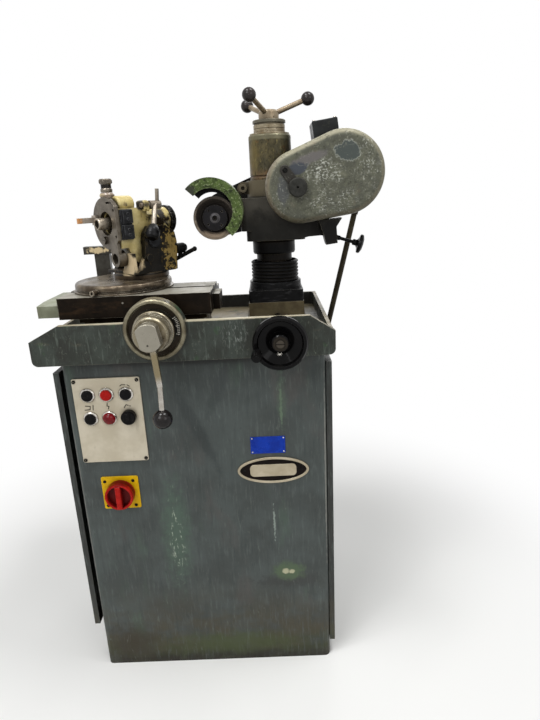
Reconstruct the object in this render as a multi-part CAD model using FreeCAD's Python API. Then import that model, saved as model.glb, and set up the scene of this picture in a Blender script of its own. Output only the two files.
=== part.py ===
import FreeCAD, Part
import math
import os

# Drill bit sharpener, millimetres. Origin: middle of the cabinet's footprint on the floor.
# X runs to the right along the front, Y runs away from the operator, Z is up.

# cabinet and tray
cabinet_width = 540.0
cabinet_depth = 420.0
cabinet_height = 772.0
sheet = 3.0
base_plate = 8.0
anchor_x = 200.0
anchor_y = 150.0
anchor_r = 7.0
tray_left = -312.0
tray_right = 287.0
tray_front = -240.0
tray_back = 239.0
tray_floor = 782.0
tray_wall_top = 815.0
apron_top = 852.0

# table traverse
traverse_x = -62.0
traverse_z = 838.0
pinion_r = 25.0
cap_r = 26.3
cap_front = -311.0
cap_lean = -11.0
table_left = -260.0
table_right = 45.0
table_front = -200.0
table_back = -15.0
table_bottom = 856.1
table_top = 899.0

# turntable and workhead, built about its own swivel axis
swivel_x = -150.0
swivel_y = -95.0
swivel_turn = 225.0
disc_r = 101.0
disc_top = 919.0
spindle_z = 1035.0
trunnion_u = -52.0
trunnion_z = 995.0
collet_bore_r = 8.5

# cross slide and column
feed_x = 178.0
feed_z = 813.0
column_x = 176.0
column_y = 5.0
column_r = 30.0
sleeve_r = 46.0
bellows_low = 888.0
bellows_high = 933.9
bellows_ribs = 6
star_turn = 3.5

# wheelhead
wheel_x = 58.0
wheel_z = 1037.0
wheel_r = 42.5
counter_x = 240.0
counter_z = 1090.0
motor_x = 324.0
motor_z = 1118.0
guard_x = 51.0
guard_z = 1051.0
guard_r = 64.5
cover_front = -106.0
cover_back = -60.5
cover_z = 1114.0

# front panel
panel_front = -213.0
panel_face = -210.0
button_columns = (-222.4, -183.3, -143.0)
button_rows = (698.4, 646.6)
selector_spot = (-141.7, 648.8)
button_r = 11.6
bezel_r = 15.4
switch_x = -181.0
switch_z = 470.0

running = 0.05

X = FreeCAD.Vector(1, 0, 0)
Y = FreeCAD.Vector(0, 1, 0)
Z = FreeCAD.Vector(0, 0, 1)


def vec(x, y, z):
    return FreeCAD.Vector(x, y, z)


def box(x0, x1, y0, y1, z0, z1):
    return Part.makeBox(x1 - x0, y1 - y0, z1 - z0, vec(x0, y0, z0))


def rod(start, end, r):
    return Part.makeCylinder(r, (end - start).Length, start, end - start)


def cyl_y(x, z, r, y0, y1):
    return rod(vec(x, y0, z), vec(x, y1, z), r)


def cyl_z(x, y, r, z0, z1):
    return rod(vec(x, y, z0), vec(x, y, z1), r)


def turned(origin, axis, profile):
    """A turned piece: profile is (radius, distance along the axis from origin)."""
    points = [vec(r, 0, t) for r, t in profile]
    face = Part.Face(Part.makePolygon(points + [points[0]]))
    solid = face.revolve(vec(0, 0, 0), Z, 360)
    solid.Placement = FreeCAD.Placement(origin, FreeCAD.Rotation(Z, axis))
    return solid


def turned_y(x, z, profile):
    return turned(vec(x, 0, z), Y, profile)


def turned_z(x, y, profile):
    return turned(vec(x, y, 0), Z, profile)


def plate_xz(points, y0, y1):
    corners = [vec(x, y0, z) for x, z in points]
    return Part.Face(Part.makePolygon(corners + [corners[0]])).extrude(vec(0, y1 - y0, 0))


def plate_yz(points, x0, x1):
    corners = [vec(x0, y, z) for y, z in points]
    return Part.Face(Part.makePolygon(corners + [corners[0]])).extrude(vec(x1 - x0, 0, 0))


def pear(x1, z1, r1, x2, z2, r2, y0, y1):
    """Two discs joined by their outer tangents, from y0 to y1."""
    gap = math.hypot(x2 - x1, z2 - z1)
    along = math.atan2(z2 - z1, x2 - x1)
    lean = math.acos((r1 - r2) / gap)

    def on(x, z, r, a):
        return vec(x + r * math.cos(a), y0, z + r * math.sin(a))

    up1 = on(x1, z1, r1, along + lean)
    up2 = on(x2, z2, r2, along + lean)
    low1 = on(x1, z1, r1, along - lean)
    low2 = on(x2, z2, r2, along - lean)
    far1 = on(x1, z1, r1, along + math.pi)
    far2 = on(x2, z2, r2, along)
    edges = [
        Part.makeLine(up1, up2),
        Part.Arc(up2, far2, low2).toShape(),
        Part.makeLine(low2, low1),
        Part.Arc(low1, far1, up1).toShape(),
    ]
    return Part.Face(Part.Wire(edges)).extrude(vec(0, y1 - y0, 0))


def round_edges(solid, r, chosen):
    edges = [e for e in solid.Edges if chosen(e)]
    return solid.makeFillet(r, edges)


def upright(e):
    v = e.Vertexes
    return len(v) == 2 and abs(v[0].X - v[1].X) < 1e-6 and abs(v[0].Y - v[1].Y) < 1e-6


def along_y(e):
    v = e.Vertexes
    return len(v) == 2 and abs(v[0].X - v[1].X) < 1e-6 and abs(v[0].Z - v[1].Z) < 1e-6


def at_y(y):
    return lambda e: all(abs(v.Y - y) < 1e-6 for v in e.Vertexes)


def at_z(z):
    return lambda e: all(abs(v.Z - z) < 1e-6 for v in e.Vertexes)


def fuse(first, *rest):
    return first.multiFuse(list(rest)).removeSplitter()


def in_head(solid):
    """From the workhead's own frame (u out of the nose, s to its side) to the machine's."""
    turn = FreeCAD.Rotation(Z, swivel_turn)
    solid.Placement = FreeCAD.Placement(vec(swivel_x, swivel_y, 0), turn).multiply(solid.Placement)
    return solid


def head_turned(s, z, profile):
    return turned(vec(0, s, z), X, profile)


def hinge_lug(x, wall_x, z):
    """A lift-off hinge's lower half: barrel, pin and the leaf on the cabinet's side."""
    barrel = cyl_z(x, 214, 7, z, z + 25)
    pin = cyl_z(x, 214, 4, z + 25, z + 49)
    leaf = box(min(x, wall_x), max(x, wall_x), 203.5, 211, z, z + 25)
    return barrel.fuse(pin).fuse(leaf)


def cabinet_shell():
    half_x = cabinet_width / 2
    half_y = cabinet_depth / 2
    outer = box(-half_x, half_x, -half_y, half_y, 0, cabinet_height)
    outer = round_edges(outer, 12, upright)
    inside = box(-half_x + sheet, half_x - sheet, -half_y + sheet, half_y - sheet, base_plate, 764)
    inside = round_edges(inside, 9, upright)
    mouth = box(-half_x + 30, half_x - 30, -half_y + 30, half_y - 30, 760, cabinet_height)
    shell = outer.cut(inside).cut(mouth)
    for side in (-1, 1):
        door_way = box(-10, 10, -170, 170, 150, 715)
        door_way.translate(vec(side * half_x, 0, 0))
        shell = shell.cut(door_way)
        for y in (-anchor_y, anchor_y):
            shell = shell.cut(cyl_z(side * anchor_x, y, anchor_r, -1, base_plate + 1))
    shell = shell.cut(box(-240, -124, -215, -200, 560, 724))
    shell = shell.cut(cyl_y(switch_x, switch_z, 8 + running, -215, -200))
    lugs = [hinge_lug(-285, -263, z) for z in (174, 594)]
    lugs += [hinge_lug(277, 263, z) for z in (174, 594)]
    return fuse(shell, *lugs)


def door(x_out, x_in, z0, z1, hinge_x):
    """A folded pan with two hinge knuckles and a flush lock."""
    low = min(x_out, x_in)
    high = max(x_out, x_in)
    side = 1 if x_out > x_in else -1
    pan = box(low, high, -202, 202, z0, z1)
    hollow = box(low, high, -200, 200, z0 + 2, z1 - 2)
    hollow.translate(vec(-2 * side, 0, 0))
    pan = pan.cut(hollow)
    for z in (199.5, 619.5):
        knuckle = cyl_z(hinge_x, 214, 7, z, z + 25)
        arm = box(hinge_x - 3, hinge_x + 3, 200.5, 214, z, z + 25)
        knuckle = knuckle.fuse(arm)
        pan = pan.fuse(knuckle.cut(cyl_z(hinge_x, 214, 4 + running, z - 1, z + 26)))
    profile = [(0, -1), (11, -1), (11, 1.2), (10, 2), (3, 2), (3, 1), (0, 1)]
    lock = turned(vec(x_out, -172, 430), vec(side, 0, 0), profile)
    return pan.fuse(lock).removeSplitter()


def low_corner(e):
    return along_y(e) and abs(e.Vertexes[0].Z - cabinet_height) < 1e-6


def bed_tray():
    pan = box(tray_left, tray_right, tray_front, tray_back, cabinet_height, tray_wall_top)
    pan = round_edges(pan, 12, low_corner)
    hollow = box(tray_left + 8, tray_right - 8, tray_front + 14, tray_back - 8, tray_floor, 830)
    hollow = round_edges(hollow, 8, upright)
    pan = pan.cut(hollow)
    outline = [
        (tray_left, cabinet_height),
        (tray_left, 822),
        (-253, apron_top),
        (238, apron_top),
        (tray_right, 820),
        (tray_right, cabinet_height),
    ]
    apron = round_edges(plate_xz(outline, tray_front, tray_front + 14), 12, low_corner)
    boss = cyl_y(traverse_x, traverse_z, 61, tray_front - 4, tray_front + 14)
    bearing = cyl_y(feed_x, feed_z, 24, tray_front - 18, tray_front + 14)
    tray = fuse(pan, apron, boss, bearing)

    tray = tray.cut(cyl_y(traverse_x, traverse_z, 20 + running, tray_front - 9, tray_front + 20))
    tray = tray.cut(cyl_y(feed_x, feed_z, 10 + running, tray_front - 30, tray_front + 20))
    return tray.removeSplitter()


def switchgear():
    plate = box(-180, 180, 200, 203, 250, 660)
    devices = [box(-150 + 70 * i, -96 + 70 * i, 120, 200, 540, 620) for i in range(4)]
    transformer = box(-140, -20, 100, 200, 290, 400)
    terminals = box(20, 160, 150, 200, 300, 340)
    stand = box(-180, 180, 203, 207, 300, 320)
    return fuse(plate, transformer, terminals, stand, *devices)


def button_places():
    spots = [(x, z) for z in button_rows for x in button_columns]
    return spots[:5] + [selector_spot]


def control_panel():
    plate = box(-252, -112, panel_front, panel_face, 546, 734.5)
    plate = round_edges(plate, 4, along_y)
    places = button_places()
    for x, z in places[:5]:
        plate = plate.cut(cyl_y(x, z, button_r + 0.6, -220, -200))
    x, z = places[5]
    plate = plate.cut(cyl_y(x, z, 5 + running, -220, -200))
    screws = [(-247, 728.5), (-117.5, 728.5), (-247, 551.5), (-117.5, 551.5)]
    heads = [cyl_y(x, z, 3.2, panel_front - 1.6, panel_front) for x, z in screws]
    return fuse(plate, *heads)


def button_bezels():
    rings = []
    for x, z in button_places()[:5]:
        profile = [
            (button_r + running, panel_front),
            (bezel_r, panel_front),
            (bezel_r, panel_front - 2),
            (bezel_r - 2, panel_front - 4),
            (button_r + running, panel_front - 4),
        ]
        rings.append(turned_y(x, z, profile))
    return Part.makeCompound(rings)


def push_button(index):
    x, z = button_places()[index]
    profile = [
        (0, -196),
        (5, -196),
        (5, -207),
        (button_r, -207),
        (button_r, -219.5),
        (button_r - 1.5, -221),
        (0, -221),
    ]
    return turned_y(x, z, profile)


def pilot_lamp():
    x, z = button_places()[4]
    front = panel_front - 4.1
    lens = Part.makeSphere(14.5, vec(x, front + 5.5, z))
    lens = lens.common(box(x - 20, x + 20, -240, front, z - 20, z + 20))
    body = cyl_y(x, z, button_r - 0.4, front, -196)
    return lens.fuse(body).removeSplitter()


def selector_knob():
    x, z = button_places()[5]
    profile = [(0, -196), (5, -196), (5, -213.5), (15.4, -213.5), (15.4, -224), (13.4, -227), (0, -227)]
    knob = turned_y(x, z, profile)
    grip = box(x - 4, x + 4, -229.5, -226, z - 11, z + 11)
    return knob.fuse(grip).removeSplitter()


def switch_plate():
    plate = box(-221.5, -141, -212, panel_face, 431, 509)
    plate = round_edges(plate, 4, along_y)
    return plate.cut(cyl_y(switch_x, switch_z, 8 + running, -220, -200))


def main_switch_knob():
    profile = [
        (0, -190),
        (8, -190),
        (8, -212.5),
        (30.5, -212.5),
        (30.5, -233),
        (29.5, -235),
        (26, -235),
        (25, -233),
        (25, -224),
        (0, -224),
    ]
    knob = turned_y(switch_x, switch_z, profile)
    grip = box(switch_x - 6, switch_x + 6, -238.5, -223, switch_z - 27, switch_z + 27)
    grip = round_edges(grip, 3, at_y(-238.5))
    return knob.fuse(grip).removeSplitter()


def front_plates():
    plate = round_edges(box(107, 181, -211, panel_face, 549, 588), 2, along_y)
    rivets = [cyl_y(x, z, 1.6, -212, -211) for x in (110.5, 177.5) for z in (552.5, 584.5)]
    curve = Part.Ellipse(vec(0, 0, 0), 77, 31)
    oval = Part.Face(Part.Wire(curve.toShape())).extrude(vec(0, 0, 3))
    oval.Placement = FreeCAD.Placement(vec(153, panel_face, 509), FreeCAD.Rotation(X, 90))
    rivets += [cyl_y(x, 509, 2.4, -214.2, -213) for x in (90.5, 215.5)]
    return Part.makeCompound([fuse(plate, *rivets[:4]), fuse(oval, *rivets[4:])])


def traverse_ring():
    profile = [
        (41.5, -244),
        (60.5, -244),
        (60.5, -249.5),
        (58, -252),
        (53.5, -252),
        (51, -249.5),
        (51, -246),
        (41.5, -246),
    ]
    return turned_y(traverse_x, traverse_z, profile)


def traverse_hub():
    profile = [
        (0, -174),
        (pinion_r, -174),
        (pinion_r, -186),
        (12, -186),
        (12, -204),
        (20, -204),
        (20, -245),
        (40, -245),
        (40, -260),
        (38.5, -262),
        (37, -262),
        (37, -270),
        (34.5, -270),
        (34.5, -288),
        (32, -291),
        (0, -291),
    ]
    hub = turned_y(traverse_x, traverse_z, profile)
    cap = cyl_y(traverse_x, traverse_z, cap_r, cap_front, -290)
    flats = box(traverse_x - 19.8, traverse_x + 19.8, cap_front - 1, -289, traverse_z - 30, traverse_z + 30)
    flats.rotate(vec(traverse_x, 0, traverse_z), Y, cap_lean)
    cap = round_edges(cap.common(flats), 1.5, at_y(cap_front))
    return hub.fuse(cap).removeSplitter()


def lever_ball():
    return Part.makeSphere(18.9, vec(-50.6, -310, 679.5))


def traverse_lever():
    top = vec(-57, -301, 819)
    elbow = vec(-50, -306, 744.5)
    tip = vec(-50.5, -310, 683.5)
    upper = Part.makeCone(7, 6, (elbow - top).Length, top, elbow - top)
    lower = rod(elbow, tip, 5.2)
    lever = fuse(upper, lower, Part.makeSphere(6, elbow))
    return lever.cut(traverse_hub()).cut(lever_ball())


def slide_base():
    foot = box(-235, 30, -160, -20, tray_floor, 800)
    body = box(-228, 24, -152, -28, 800, 840)
    top = box(-235, 30, -160, -20, 840, 856)
    rail = plate_yz([(-122, 855), (-78, 855), (-70, 872), (-130, 872)], -235, 30)
    return fuse(foot, body, top, rail)


def table():
    slab = box(table_left, table_right, table_front, table_back, table_bottom, table_top)
    stop = box(table_right, table_right + 15, -166, -105, 858, 890)
    slab = slab.fuse(stop)
    groove = [(-122.3, 855), (-77.7, 855), (-69.4, 872.5), (-130.6, 872.5)]
    slab = slab.cut(plate_yz(groove, table_left - 1, table_right + 17))
    slab = slab.cut(box(-125, -5, -188, -172, 855, traverse_z + pinion_r + 0.5))
    slab = slab.cut(box(table_left - 1, table_right + 1, -128, -116, 889, 900))
    slab = slab.cut(box(table_left - 1, table_right + 1, -60, table_back + 1, 888, 900))
    slab = slab.cut(cyl_z(swivel_x, swivel_y, 15 + running, 880, 900))
    return slab.removeSplitter()


def table_end_cover():
    outline = [(-190, 859), (-190, 883), (-150, 886), (-40, 886), (-30, 880), (-30, 859)]
    cover = plate_yz(outline, -306, table_left)
    return cover.cut(box(table_left - 25, table_left + 1, -132, -68, 850, 873))


def stop_post():
    post = box(-260, -224, 72, 88, tray_floor, 958)
    bar = box(-284, -216, 69, 91, 958, 976)
    return post.fuse(bar).removeSplitter()


def conduit():
    path = [vec(240, 200, 560), vec(240, 250, 560), vec(290, 250, 583), vec(402, 250, 1037)]
    pipe = [rod(a, b, 7.5) for a, b in zip(path, path[1:])]
    pipe += [Part.makeSphere(7.5, p) for p in path[1:3]]
    gland = turned_y(240, 560, [(0, 210), (16, 210), (16, 216), (12, 222), (12, 228), (0, 228)])
    lean = path[3] - path[2]
    nut = rod(path[3] - lean * (20 / lean.Length), path[3], 9.5)
    arm = box(240, 254, 210, 256, 660, 676)
    clip = box(240, 321, 244, 256, 660, 676)
    solid = fuse(pipe[0], *pipe[1:], gland, nut, arm, clip)
    return solid.cut(box(225, 255, 195, 210, 545, 575))


def turntable():
    low = table_top + 0.2
    profile = [
        (0, low - 17),
        (15, low - 17),
        (15, low),
        (disc_r + 3, low),
        (disc_r + 3, low + 3),
        (disc_r - 2, low + 5),
        (disc_r - 2, low + 6.5),
        (disc_r, low + 8),
        (disc_r, disc_top),
        (0, disc_top),
    ]
    disc = turned_z(swivel_x, swivel_y, profile)
    disc = round_edges(disc, 7, at_z(disc_top))
    lock = rod(vec(swivel_x - 30, swivel_y - 90, 906.5), vec(swivel_x - 37, swivel_y - 109.5, 906.5), 5.5)
    socket = rod(vec(swivel_x - 35.6, swivel_y - 105, 906.5), vec(swivel_x - 38, swivel_y - 112, 906.5), 2.8)
    return disc.fuse(lock).cut(socket)


def pedestal():
    flange = cyl_z(-46, 0, 59, disc_top, 931)
    flange = round_edges(flange, 5, at_z(931))
    bridge = box(-100, 4, -54, 54, 930, 936)
    outline = [
        (-8, 931),
        (-26, 965),
        (-30, 1012),
        (-40, 1026),
        (-82, 1026),
        (-104, 1010),
        (-108, 990),
        (-104, 931),
    ]
    web = plate_yz([(8, 931), (58, 931), (55, 974), (33, 974)], -2, 5)
    solid = flange.fuse(bridge).fuse(web)
    for s in (-54, 40.5):
        solid = solid.fuse(plate_xz(outline, s, s + 13.5))
    solid = solid.cut(cyl_y(trunnion_u, trunnion_z, 10 + running, -60, 60))
    solid = solid.cut(rod(vec(-90, 47, 974), vec(-112, 47, 974), 5 + running))
    lock = cyl_y(-34, 962, 8, 54, 60)
    return in_head(solid.fuse(lock).removeSplitter())


def tilt_nut():
    profile = [
        (0, -62),
        (13, -62),
        (13, -54.2),
        (10, -54.2),
        (10, 54.2),
        (14, 54.2),
        (14, 58),
        (12, 60),
        (0, 60),
    ]
    return in_head(turned_y(trunnion_u, trunnion_z, profile))


def rear_clamp_lever():
    profile = [(0, -92), (5, -92), (5, -109), (11, -109), (11, -128), (8, -134), (0, -136)]
    hub = head_turned(47, 974, profile)
    stem = rod(vec(-120, 47, 970), vec(-122, 42, 954), 5)
    arm = rod(vec(-118, 34, 950), vec(-139, 74, 971), 4.5)
    end = Part.makeSphere(5.5, vec(-139, 74, 971))
    return in_head(fuse(hub, stem, arm, end))


def work_housing():
    block = box(-50, 17, -38, 38, 985, 1064)
    drum = cyl_y(trunnion_u, trunnion_z, 54, -38, 38)
    tail = rod(vec(-49, 0, spindle_z), vec(-116, 0, spindle_z), 27)
    dome = rod(vec(-28, 16, 1072), vec(10, 16, 1072), 17)
    dome = round_edges(dome, 5, lambda e: len(e.Vertexes) == 1)
    tower = turned_z(8, -12, [(0, 1056), (15, 1056), (15, 1092), (12, 1096), (0, 1096)])
    tower = tower.cut(box(17, 40, -40, 40, 1050, 1087.4))
    lug = box(-50, -38, 20, 50, 1056, 1078)
    lug = round_edges(lug, 5, at_z(1078))
    solid = fuse(block, drum, tail, dome, tower, lug)
    solid = solid.cut(rod(vec(-120, 0, spindle_z), vec(20, 0, spindle_z), 20 + running))
    solid = solid.cut(cyl_y(trunnion_u, trunnion_z, 10 + running, -60, 60))
    solid = solid.cut(cyl_z(8, -12, 5 + running, 1054, 1100))
    solid = solid.cut(rod(vec(-60, 43, 1068), vec(-30, 43, 1068), 5 + running))
    return in_head(solid.removeSplitter())


def face_plate():
    disc = rod(vec(17, 0, spindle_z), vec(25, 0, spindle_z), 52)
    disc = disc.cut(box(10, 30, 40, 60, 960, 1100))
    tongue = box(17, 25, 6, 34, 964, 1004)
    ring = rod(vec(7, 20, 964), vec(25, 20, 964), 17)
    plate = fuse(disc, tongue, ring)
    plate = plate.cut(rod(vec(0, 0, spindle_z), vec(30, 0, spindle_z), 24))
    plate = plate.cut(rod(vec(0, 20, 964), vec(30, 20, 964), 11))
    plate = plate.cut(box(21, 26, 8, 30, 1074, 1078))
    for z in (-26, 26):
        plate = plate.cut(rod(vec(22, 34, spindle_z + z), vec(26, 34, spindle_z + z), 3))
    screw = rod(vec(25, -12, 1001), vec(30, -12, 1001), 8)
    screw = screw.cut(box(28.5, 31, -21, -3, 1000, 1002))
    return in_head(plate.fuse(screw).removeSplitter())


def guide_blocks():
    back = box(-12, 15, 38, 40.4, 1002, 1062)
    upper = box(-10, 12, 40.4, 48, 1035, 1061)
    lower = box(-10, 12, 40.4, 48, 1004, 1031)
    screws = [rod(vec(1, 48, z), vec(1, 49.5, z), 3) for z in (1012, 1022, 1043, 1053)]
    return in_head(fuse(back, upper, lower, *screws))


def lip_rest():
    foot = box(25, 31, -47, -31, 1032, 1052)
    bar = box(31, 67, -42, -37, 1037, 1048)
    return in_head(foot.fuse(bar).removeSplitter())


def work_spindle():
    profile = [
        (collet_bore_r, -131),
        (28, -131),
        (31, -128),
        (31, -119),
        (28, -116.5),
        (20, -116.5),
        (20, 8),
        (12, 8),
        (12, 44),
        (10.5, 46),
        (collet_bore_r, 46),
    ]
    spindle = head_turned(0, spindle_z, profile)
    for i in range(12):
        a = math.radians(30 * i)
        s = 31.5 * math.cos(a)
        z = spindle_z + 31.5 * math.sin(a)
        spindle = spindle.cut(rod(vec(-133, s, z), vec(-115, s, z), 2.2))
    return in_head(spindle)


def index_plunger():
    profile = [
        (0, 1057),
        (3, 1057),
        (5, 1061),
        (5, 1096.5),
        (11, 1096.5),
        (12, 1098),
        (12, 1102.5),
        (10.5, 1104.5),
        (10.5, 1112),
        (12.5, 1114),
        (12.5, 1121),
        (11.5, 1123),
        (9, 1123),
        (8, 1121),
        (0, 1121),
    ]
    return in_head(turned_z(8, -12, profile))


def work_lever():
    shaft = rod(vec(-34, 43, 1068), vec(-80, 43, 1068), 5)
    collar = rod(vec(-55, 43, 1068), vec(-80, 43, 1068), 9)
    pin = rod(vec(-74, 44, 1068), vec(-74, 48, 1100), 4)
    arm = rod(vec(-67, 47, 1068), vec(-42, 70, 1024), 5.5)
    knob = turned(
        vec(-42, 70, 1024),
        vec(7, 4, -12),
        [(0, -4), (8, -4), (13, 4), (15, 10), (15, 17), (13, 23), (8.5, 26.5), (0, 27)],
    )
    return in_head(fuse(shaft, collar, pin, arm, knob))


def cross_handwheel():
    grip_x = feed_x - 44
    grip_z = feed_z - 14
    profile = [
        (0, 132),
        (8, 132),
        (8, -222),
        (10, -222),
        (10, -258.5),
        (18, -258.5),
        (20, -272),
        (43, -281),
        (49, -282),
        (52, -287),
        (52, -293),
        (49, -298),
        (44, -298),
        (41, -290),
        (20, -281),
        (17, -294),
        (15, -296),
        (8, -296),
        (8, -299),
        (0, -299),
    ]
    wheel = turned_y(feed_x, feed_z, profile)
    pin = cyl_y(grip_x, grip_z, 4, -339, -290)
    head = cyl_y(grip_x, grip_z, 6, -341, -338.5)
    slot = box(feed_x - 9, feed_x + 9, -300, -297.6, feed_z - 1, feed_z + 1)
    return fuse(wheel, pin, head).cut(slot)


def handwheel_grip():
    bore = 4 + running
    profile = [
        (bore, -299),
        (8, -299),
        (10, -306),
        (10.5, -318),
        (10, -330),
        (7.5, -338),
        (bore, -338),
    ]
    return turned_y(feed_x - 44, feed_z - 14, profile)


def cross_base():
    outline = [
        (104, tray_floor),
        (104, 790),
        (114, 804),
        (114, 846),
        (238, 846),
        (238, 804),
        (248, 790),
        (248, tray_floor),
    ]
    block = plate_xz(outline, -60, 140)
    block = block.cut(box(165, 191, -46, 141, 820, 847))
    block = block.cut(box(150, 206, -46, 141, 798, 830))
    return block.cut(cyl_y(feed_x, feed_z, 8 + running, -61, -40))


def cross_slide():
    plate = box(115, 237, -56, 66, 846.1, 872)
    plate = round_edges(plate, 3, upright)
    ring = cyl_z(column_x, column_y, 59, 872, bellows_low)
    ring = round_edges(ring, 2, at_z(bellows_low))
    tongue = box(165.2, 190.8, -15, 30, 828, 846.1)
    foot = box(150.3, 205.7, -15, 30, 799, 829.6)
    solid = fuse(plate, ring, tongue, foot)
    solid = solid.cut(cyl_y(feed_x, feed_z, 8 + running, -20, 40))
    return solid.cut(cyl_z(column_x, column_y, column_r + running, 858, 900))


def column():
    bore = 9 + running
    profile = [
        (0, 858),
        (column_r, 858),
        (column_r, 1178),
        (column_r - 2, 1180),
        (bore, 1180),
        (bore, 1000),
        (0, 1000),
    ]
    return turned_z(column_x, column_y, profile)


def bellows():
    pitch = (bellows_high - bellows_low) / bellows_ribs
    ribs = []
    for i in range(bellows_ribs):
        low = bellows_low + i * pitch
        rings = []
        for r, share in ((46, 0), (54, 0.36), (54, 0.64), (46, 1)):
            circle = Part.makeCircle(r, vec(column_x, column_y, low + share * pitch))
            rings.append(Part.Wire(circle))
        ribs.append(Part.makeLoft(rings, True, True))
    boot = ribs[0].multiFuse(ribs[1:])
    return boot.cut(cyl_z(column_x, column_y, 42, bellows_low - 1, bellows_high + 1))


def column_sleeve():
    bore = column_r + running
    profile = [
        (bore, 934),
        (40, 934),
        (40, 950),
        (46.5, 950),
        (48, 954),
        (48, 976),
        (46.5, 979),
        (sleeve_r, 979),
        (sleeve_r, 1113),
        (sleeve_r - 1.5, 1114),
        (sleeve_r - 1.5, 1117),
        (sleeve_r, 1118),
        (sleeve_r, 1197),
        (sleeve_r - 2, 1200),
        (bore, 1200),
    ]
    return turned_z(column_x, column_y, profile)


def sleeve_cap():
    bore = 9 + running
    profile = [
        (bore, 1200),
        (43, 1200),
        (43, 1203),
        (34, 1204.5),
        (34, 1211),
        (33, 1212),
        (34, 1213),
        (34, 1220),
        (32.5, 1221),
        (32.5, 1222.5),
        (35.6, 1223.5),
        (35.6, 1228.5),
        (34, 1230),
        (bore, 1230),
    ]
    return turned_z(column_x, column_y, profile)


def star_places():
    spots = []
    for i in range(3):
        a = math.radians(120 * i + star_turn)
        spots.append((math.cos(a), math.sin(a)))
    return spots


def star_balls():
    balls = []
    for c, s in star_places():
        balls.append(Part.makeSphere(14.3, vec(column_x + 85 * c, column_y + 85 * s, 1270)))
    return Part.makeCompound(balls)


def star_handle():
    profile = [
        (0, 1045),
        (7, 1045),
        (9, 1048),
        (9, 1230.5),
        (22, 1230.5),
        (22, 1246),
        (18, 1250),
        (9, 1250),
        (8, 1251.5),
        (0, 1251.5),
    ]
    hub = turned_z(column_x, column_y, profile)
    for c, s in star_places():
        start = vec(column_x + 12 * c, column_y + 12 * s, 1243)
        end = vec(column_x + 82 * c, column_y + 82 * s, 1269)
        hub = hub.fuse(rod(start, end, 5.5))
    return hub.cut(star_balls()).removeSplitter()


def tension_line():
    start = vec(290, -62, 990)
    run = vec(0.95, -0.15, -0.3)
    run.normalize()
    return start, run


def head_casting():
    block = round_edges(box(117, 245, -55, 75, 981, 1004), 14, upright)
    shoulder = round_edges(box(105, 245, -55, 75, 1003, 1072), 14, upright)
    collar = cyl_z(column_x, column_y, 55, 1072, 1108)
    ear = cyl_y(113, 1093, 12.5, -14, 24).fuse(box(113, 132, -14, 24, 1080.5, 1105.5))
    spindle_tube = cyl_y(wheel_x, wheel_z, 28, -95, 136)
    neck = box(wheel_x, 130, -50, 72, 1012, 1060)
    counter_tube = cyl_y(counter_x, counter_z, 18, -55, 136)
    rib = box(counter_x - 12, counter_x + 12, -55, 74, 1060, 1085)
    underside = [(222, 981), (236, 983), (252, 986.5), (284, 988), (296, 994)]
    arm = plate_xz(underside + [(296, 1046), (222, 1062)], -55, 30)
    backing = pear(motor_x, cover_z, 80.5, counter_x - 5, counter_z, 69, -60, -55)
    outline = [(272, 1021), (322, 1024), (310, 1006), (312, 972), (288, 969), (283, 988)]
    bracket = plate_xz(outline, -78, -42)
    web = plate_xz([(272, 1004), (296, 1004), (296, 1040), (272, 1040)], -56, -42)
    bolt = cyl_y(113, 1093, 6, -20, 32)
    bolt_head = cyl_y(113, 1093, 9, -22, -14).cut(cyl_y(113, 1093, 4, -23, -17))
    solid = fuse(block, shoulder, collar, ear, spindle_tube, neck, counter_tube, rib)
    solid = fuse(solid, arm, backing, bracket, web)
    solid = solid.cut(cyl_z(column_x, column_y, sleeve_r + running, 970, 1115))
    solid = solid.cut(box(100, column_x, 3, 7, 1073, 1111))
    solid = fuse(solid, bolt.cut(cyl_y(113, 1093, 4, -23, -17)), bolt_head)
    solid = solid.cut(cyl_y(wheel_x, wheel_z, 12 + running, -100, 140))
    solid = solid.cut(cyl_y(counter_x, counter_z, 8 + running, -65, 140))
    solid = solid.cut(cyl_y(motor_x, motor_z, 20, -65, -50))
    start, run = tension_line()
    return solid.cut(rod(start - run * 14, start + run * 40, 5 + running)).removeSplitter()


def motor_body():
    profile = [
        (0, 0),
        (7 + running, 0),
        (7 + running, -55),
        (62, -55),
        (62, -42),
        (57, -38),
        (57, 84),
        (61, 86),
        (61, 124),
        (54, 132),
        (0, 132),
    ]
    body = turned_y(motor_x, motor_z, profile)
    for i in range(18):
        fin = box(54, 60, -1.5, 1.5, -36, 82)
        fin.rotate(vec(0, 0, 0), Z, 20 * i)
        fin.rotate(vec(0, 0, 0), X, -90)
        fin.translate(vec(motor_x, 0, motor_z))
        body = body.fuse(fin)
    terminal = box(-46, 8, -40, 30, 46, 108)
    terminal = round_edges(terminal, 3, at_z(108))
    terminal.rotate(vec(0, 0, 0), Y, -7.5)
    terminal.translate(vec(motor_x, 0, motor_z))
    return body.fuse(terminal).removeSplitter()


def pulley(x, z, r, y0, y1, groove_half):
    mid = (y0 + y1) / 2
    profile = [
        (0, y0),
        (r - 1, y0),
        (r, y0 + 1),
        (r, mid - groove_half),
        (r - 4, mid - groove_half),
        (r - 4, mid + groove_half),
        (r, mid + groove_half),
        (r, y1 - 1),
        (r - 1, y1),
        (0, y1),
    ]
    return turned_y(x, z, profile)


def motor_pulley():
    wheel = pulley(motor_x, motor_z, 38, -96, -72, 7)
    shaft = cyl_y(motor_x, motor_z, 7, -99, -3)
    return wheel.fuse(shaft).removeSplitter()


def counter_shaft():
    front = pulley(counter_x, counter_z, 28, -96, -72, 7)
    rear = pulley(counter_x, counter_z, 45, 142, 166, 7)
    shaft = cyl_y(counter_x, counter_z, 8, -99, 168)
    return fuse(front, rear, shaft)


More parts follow.
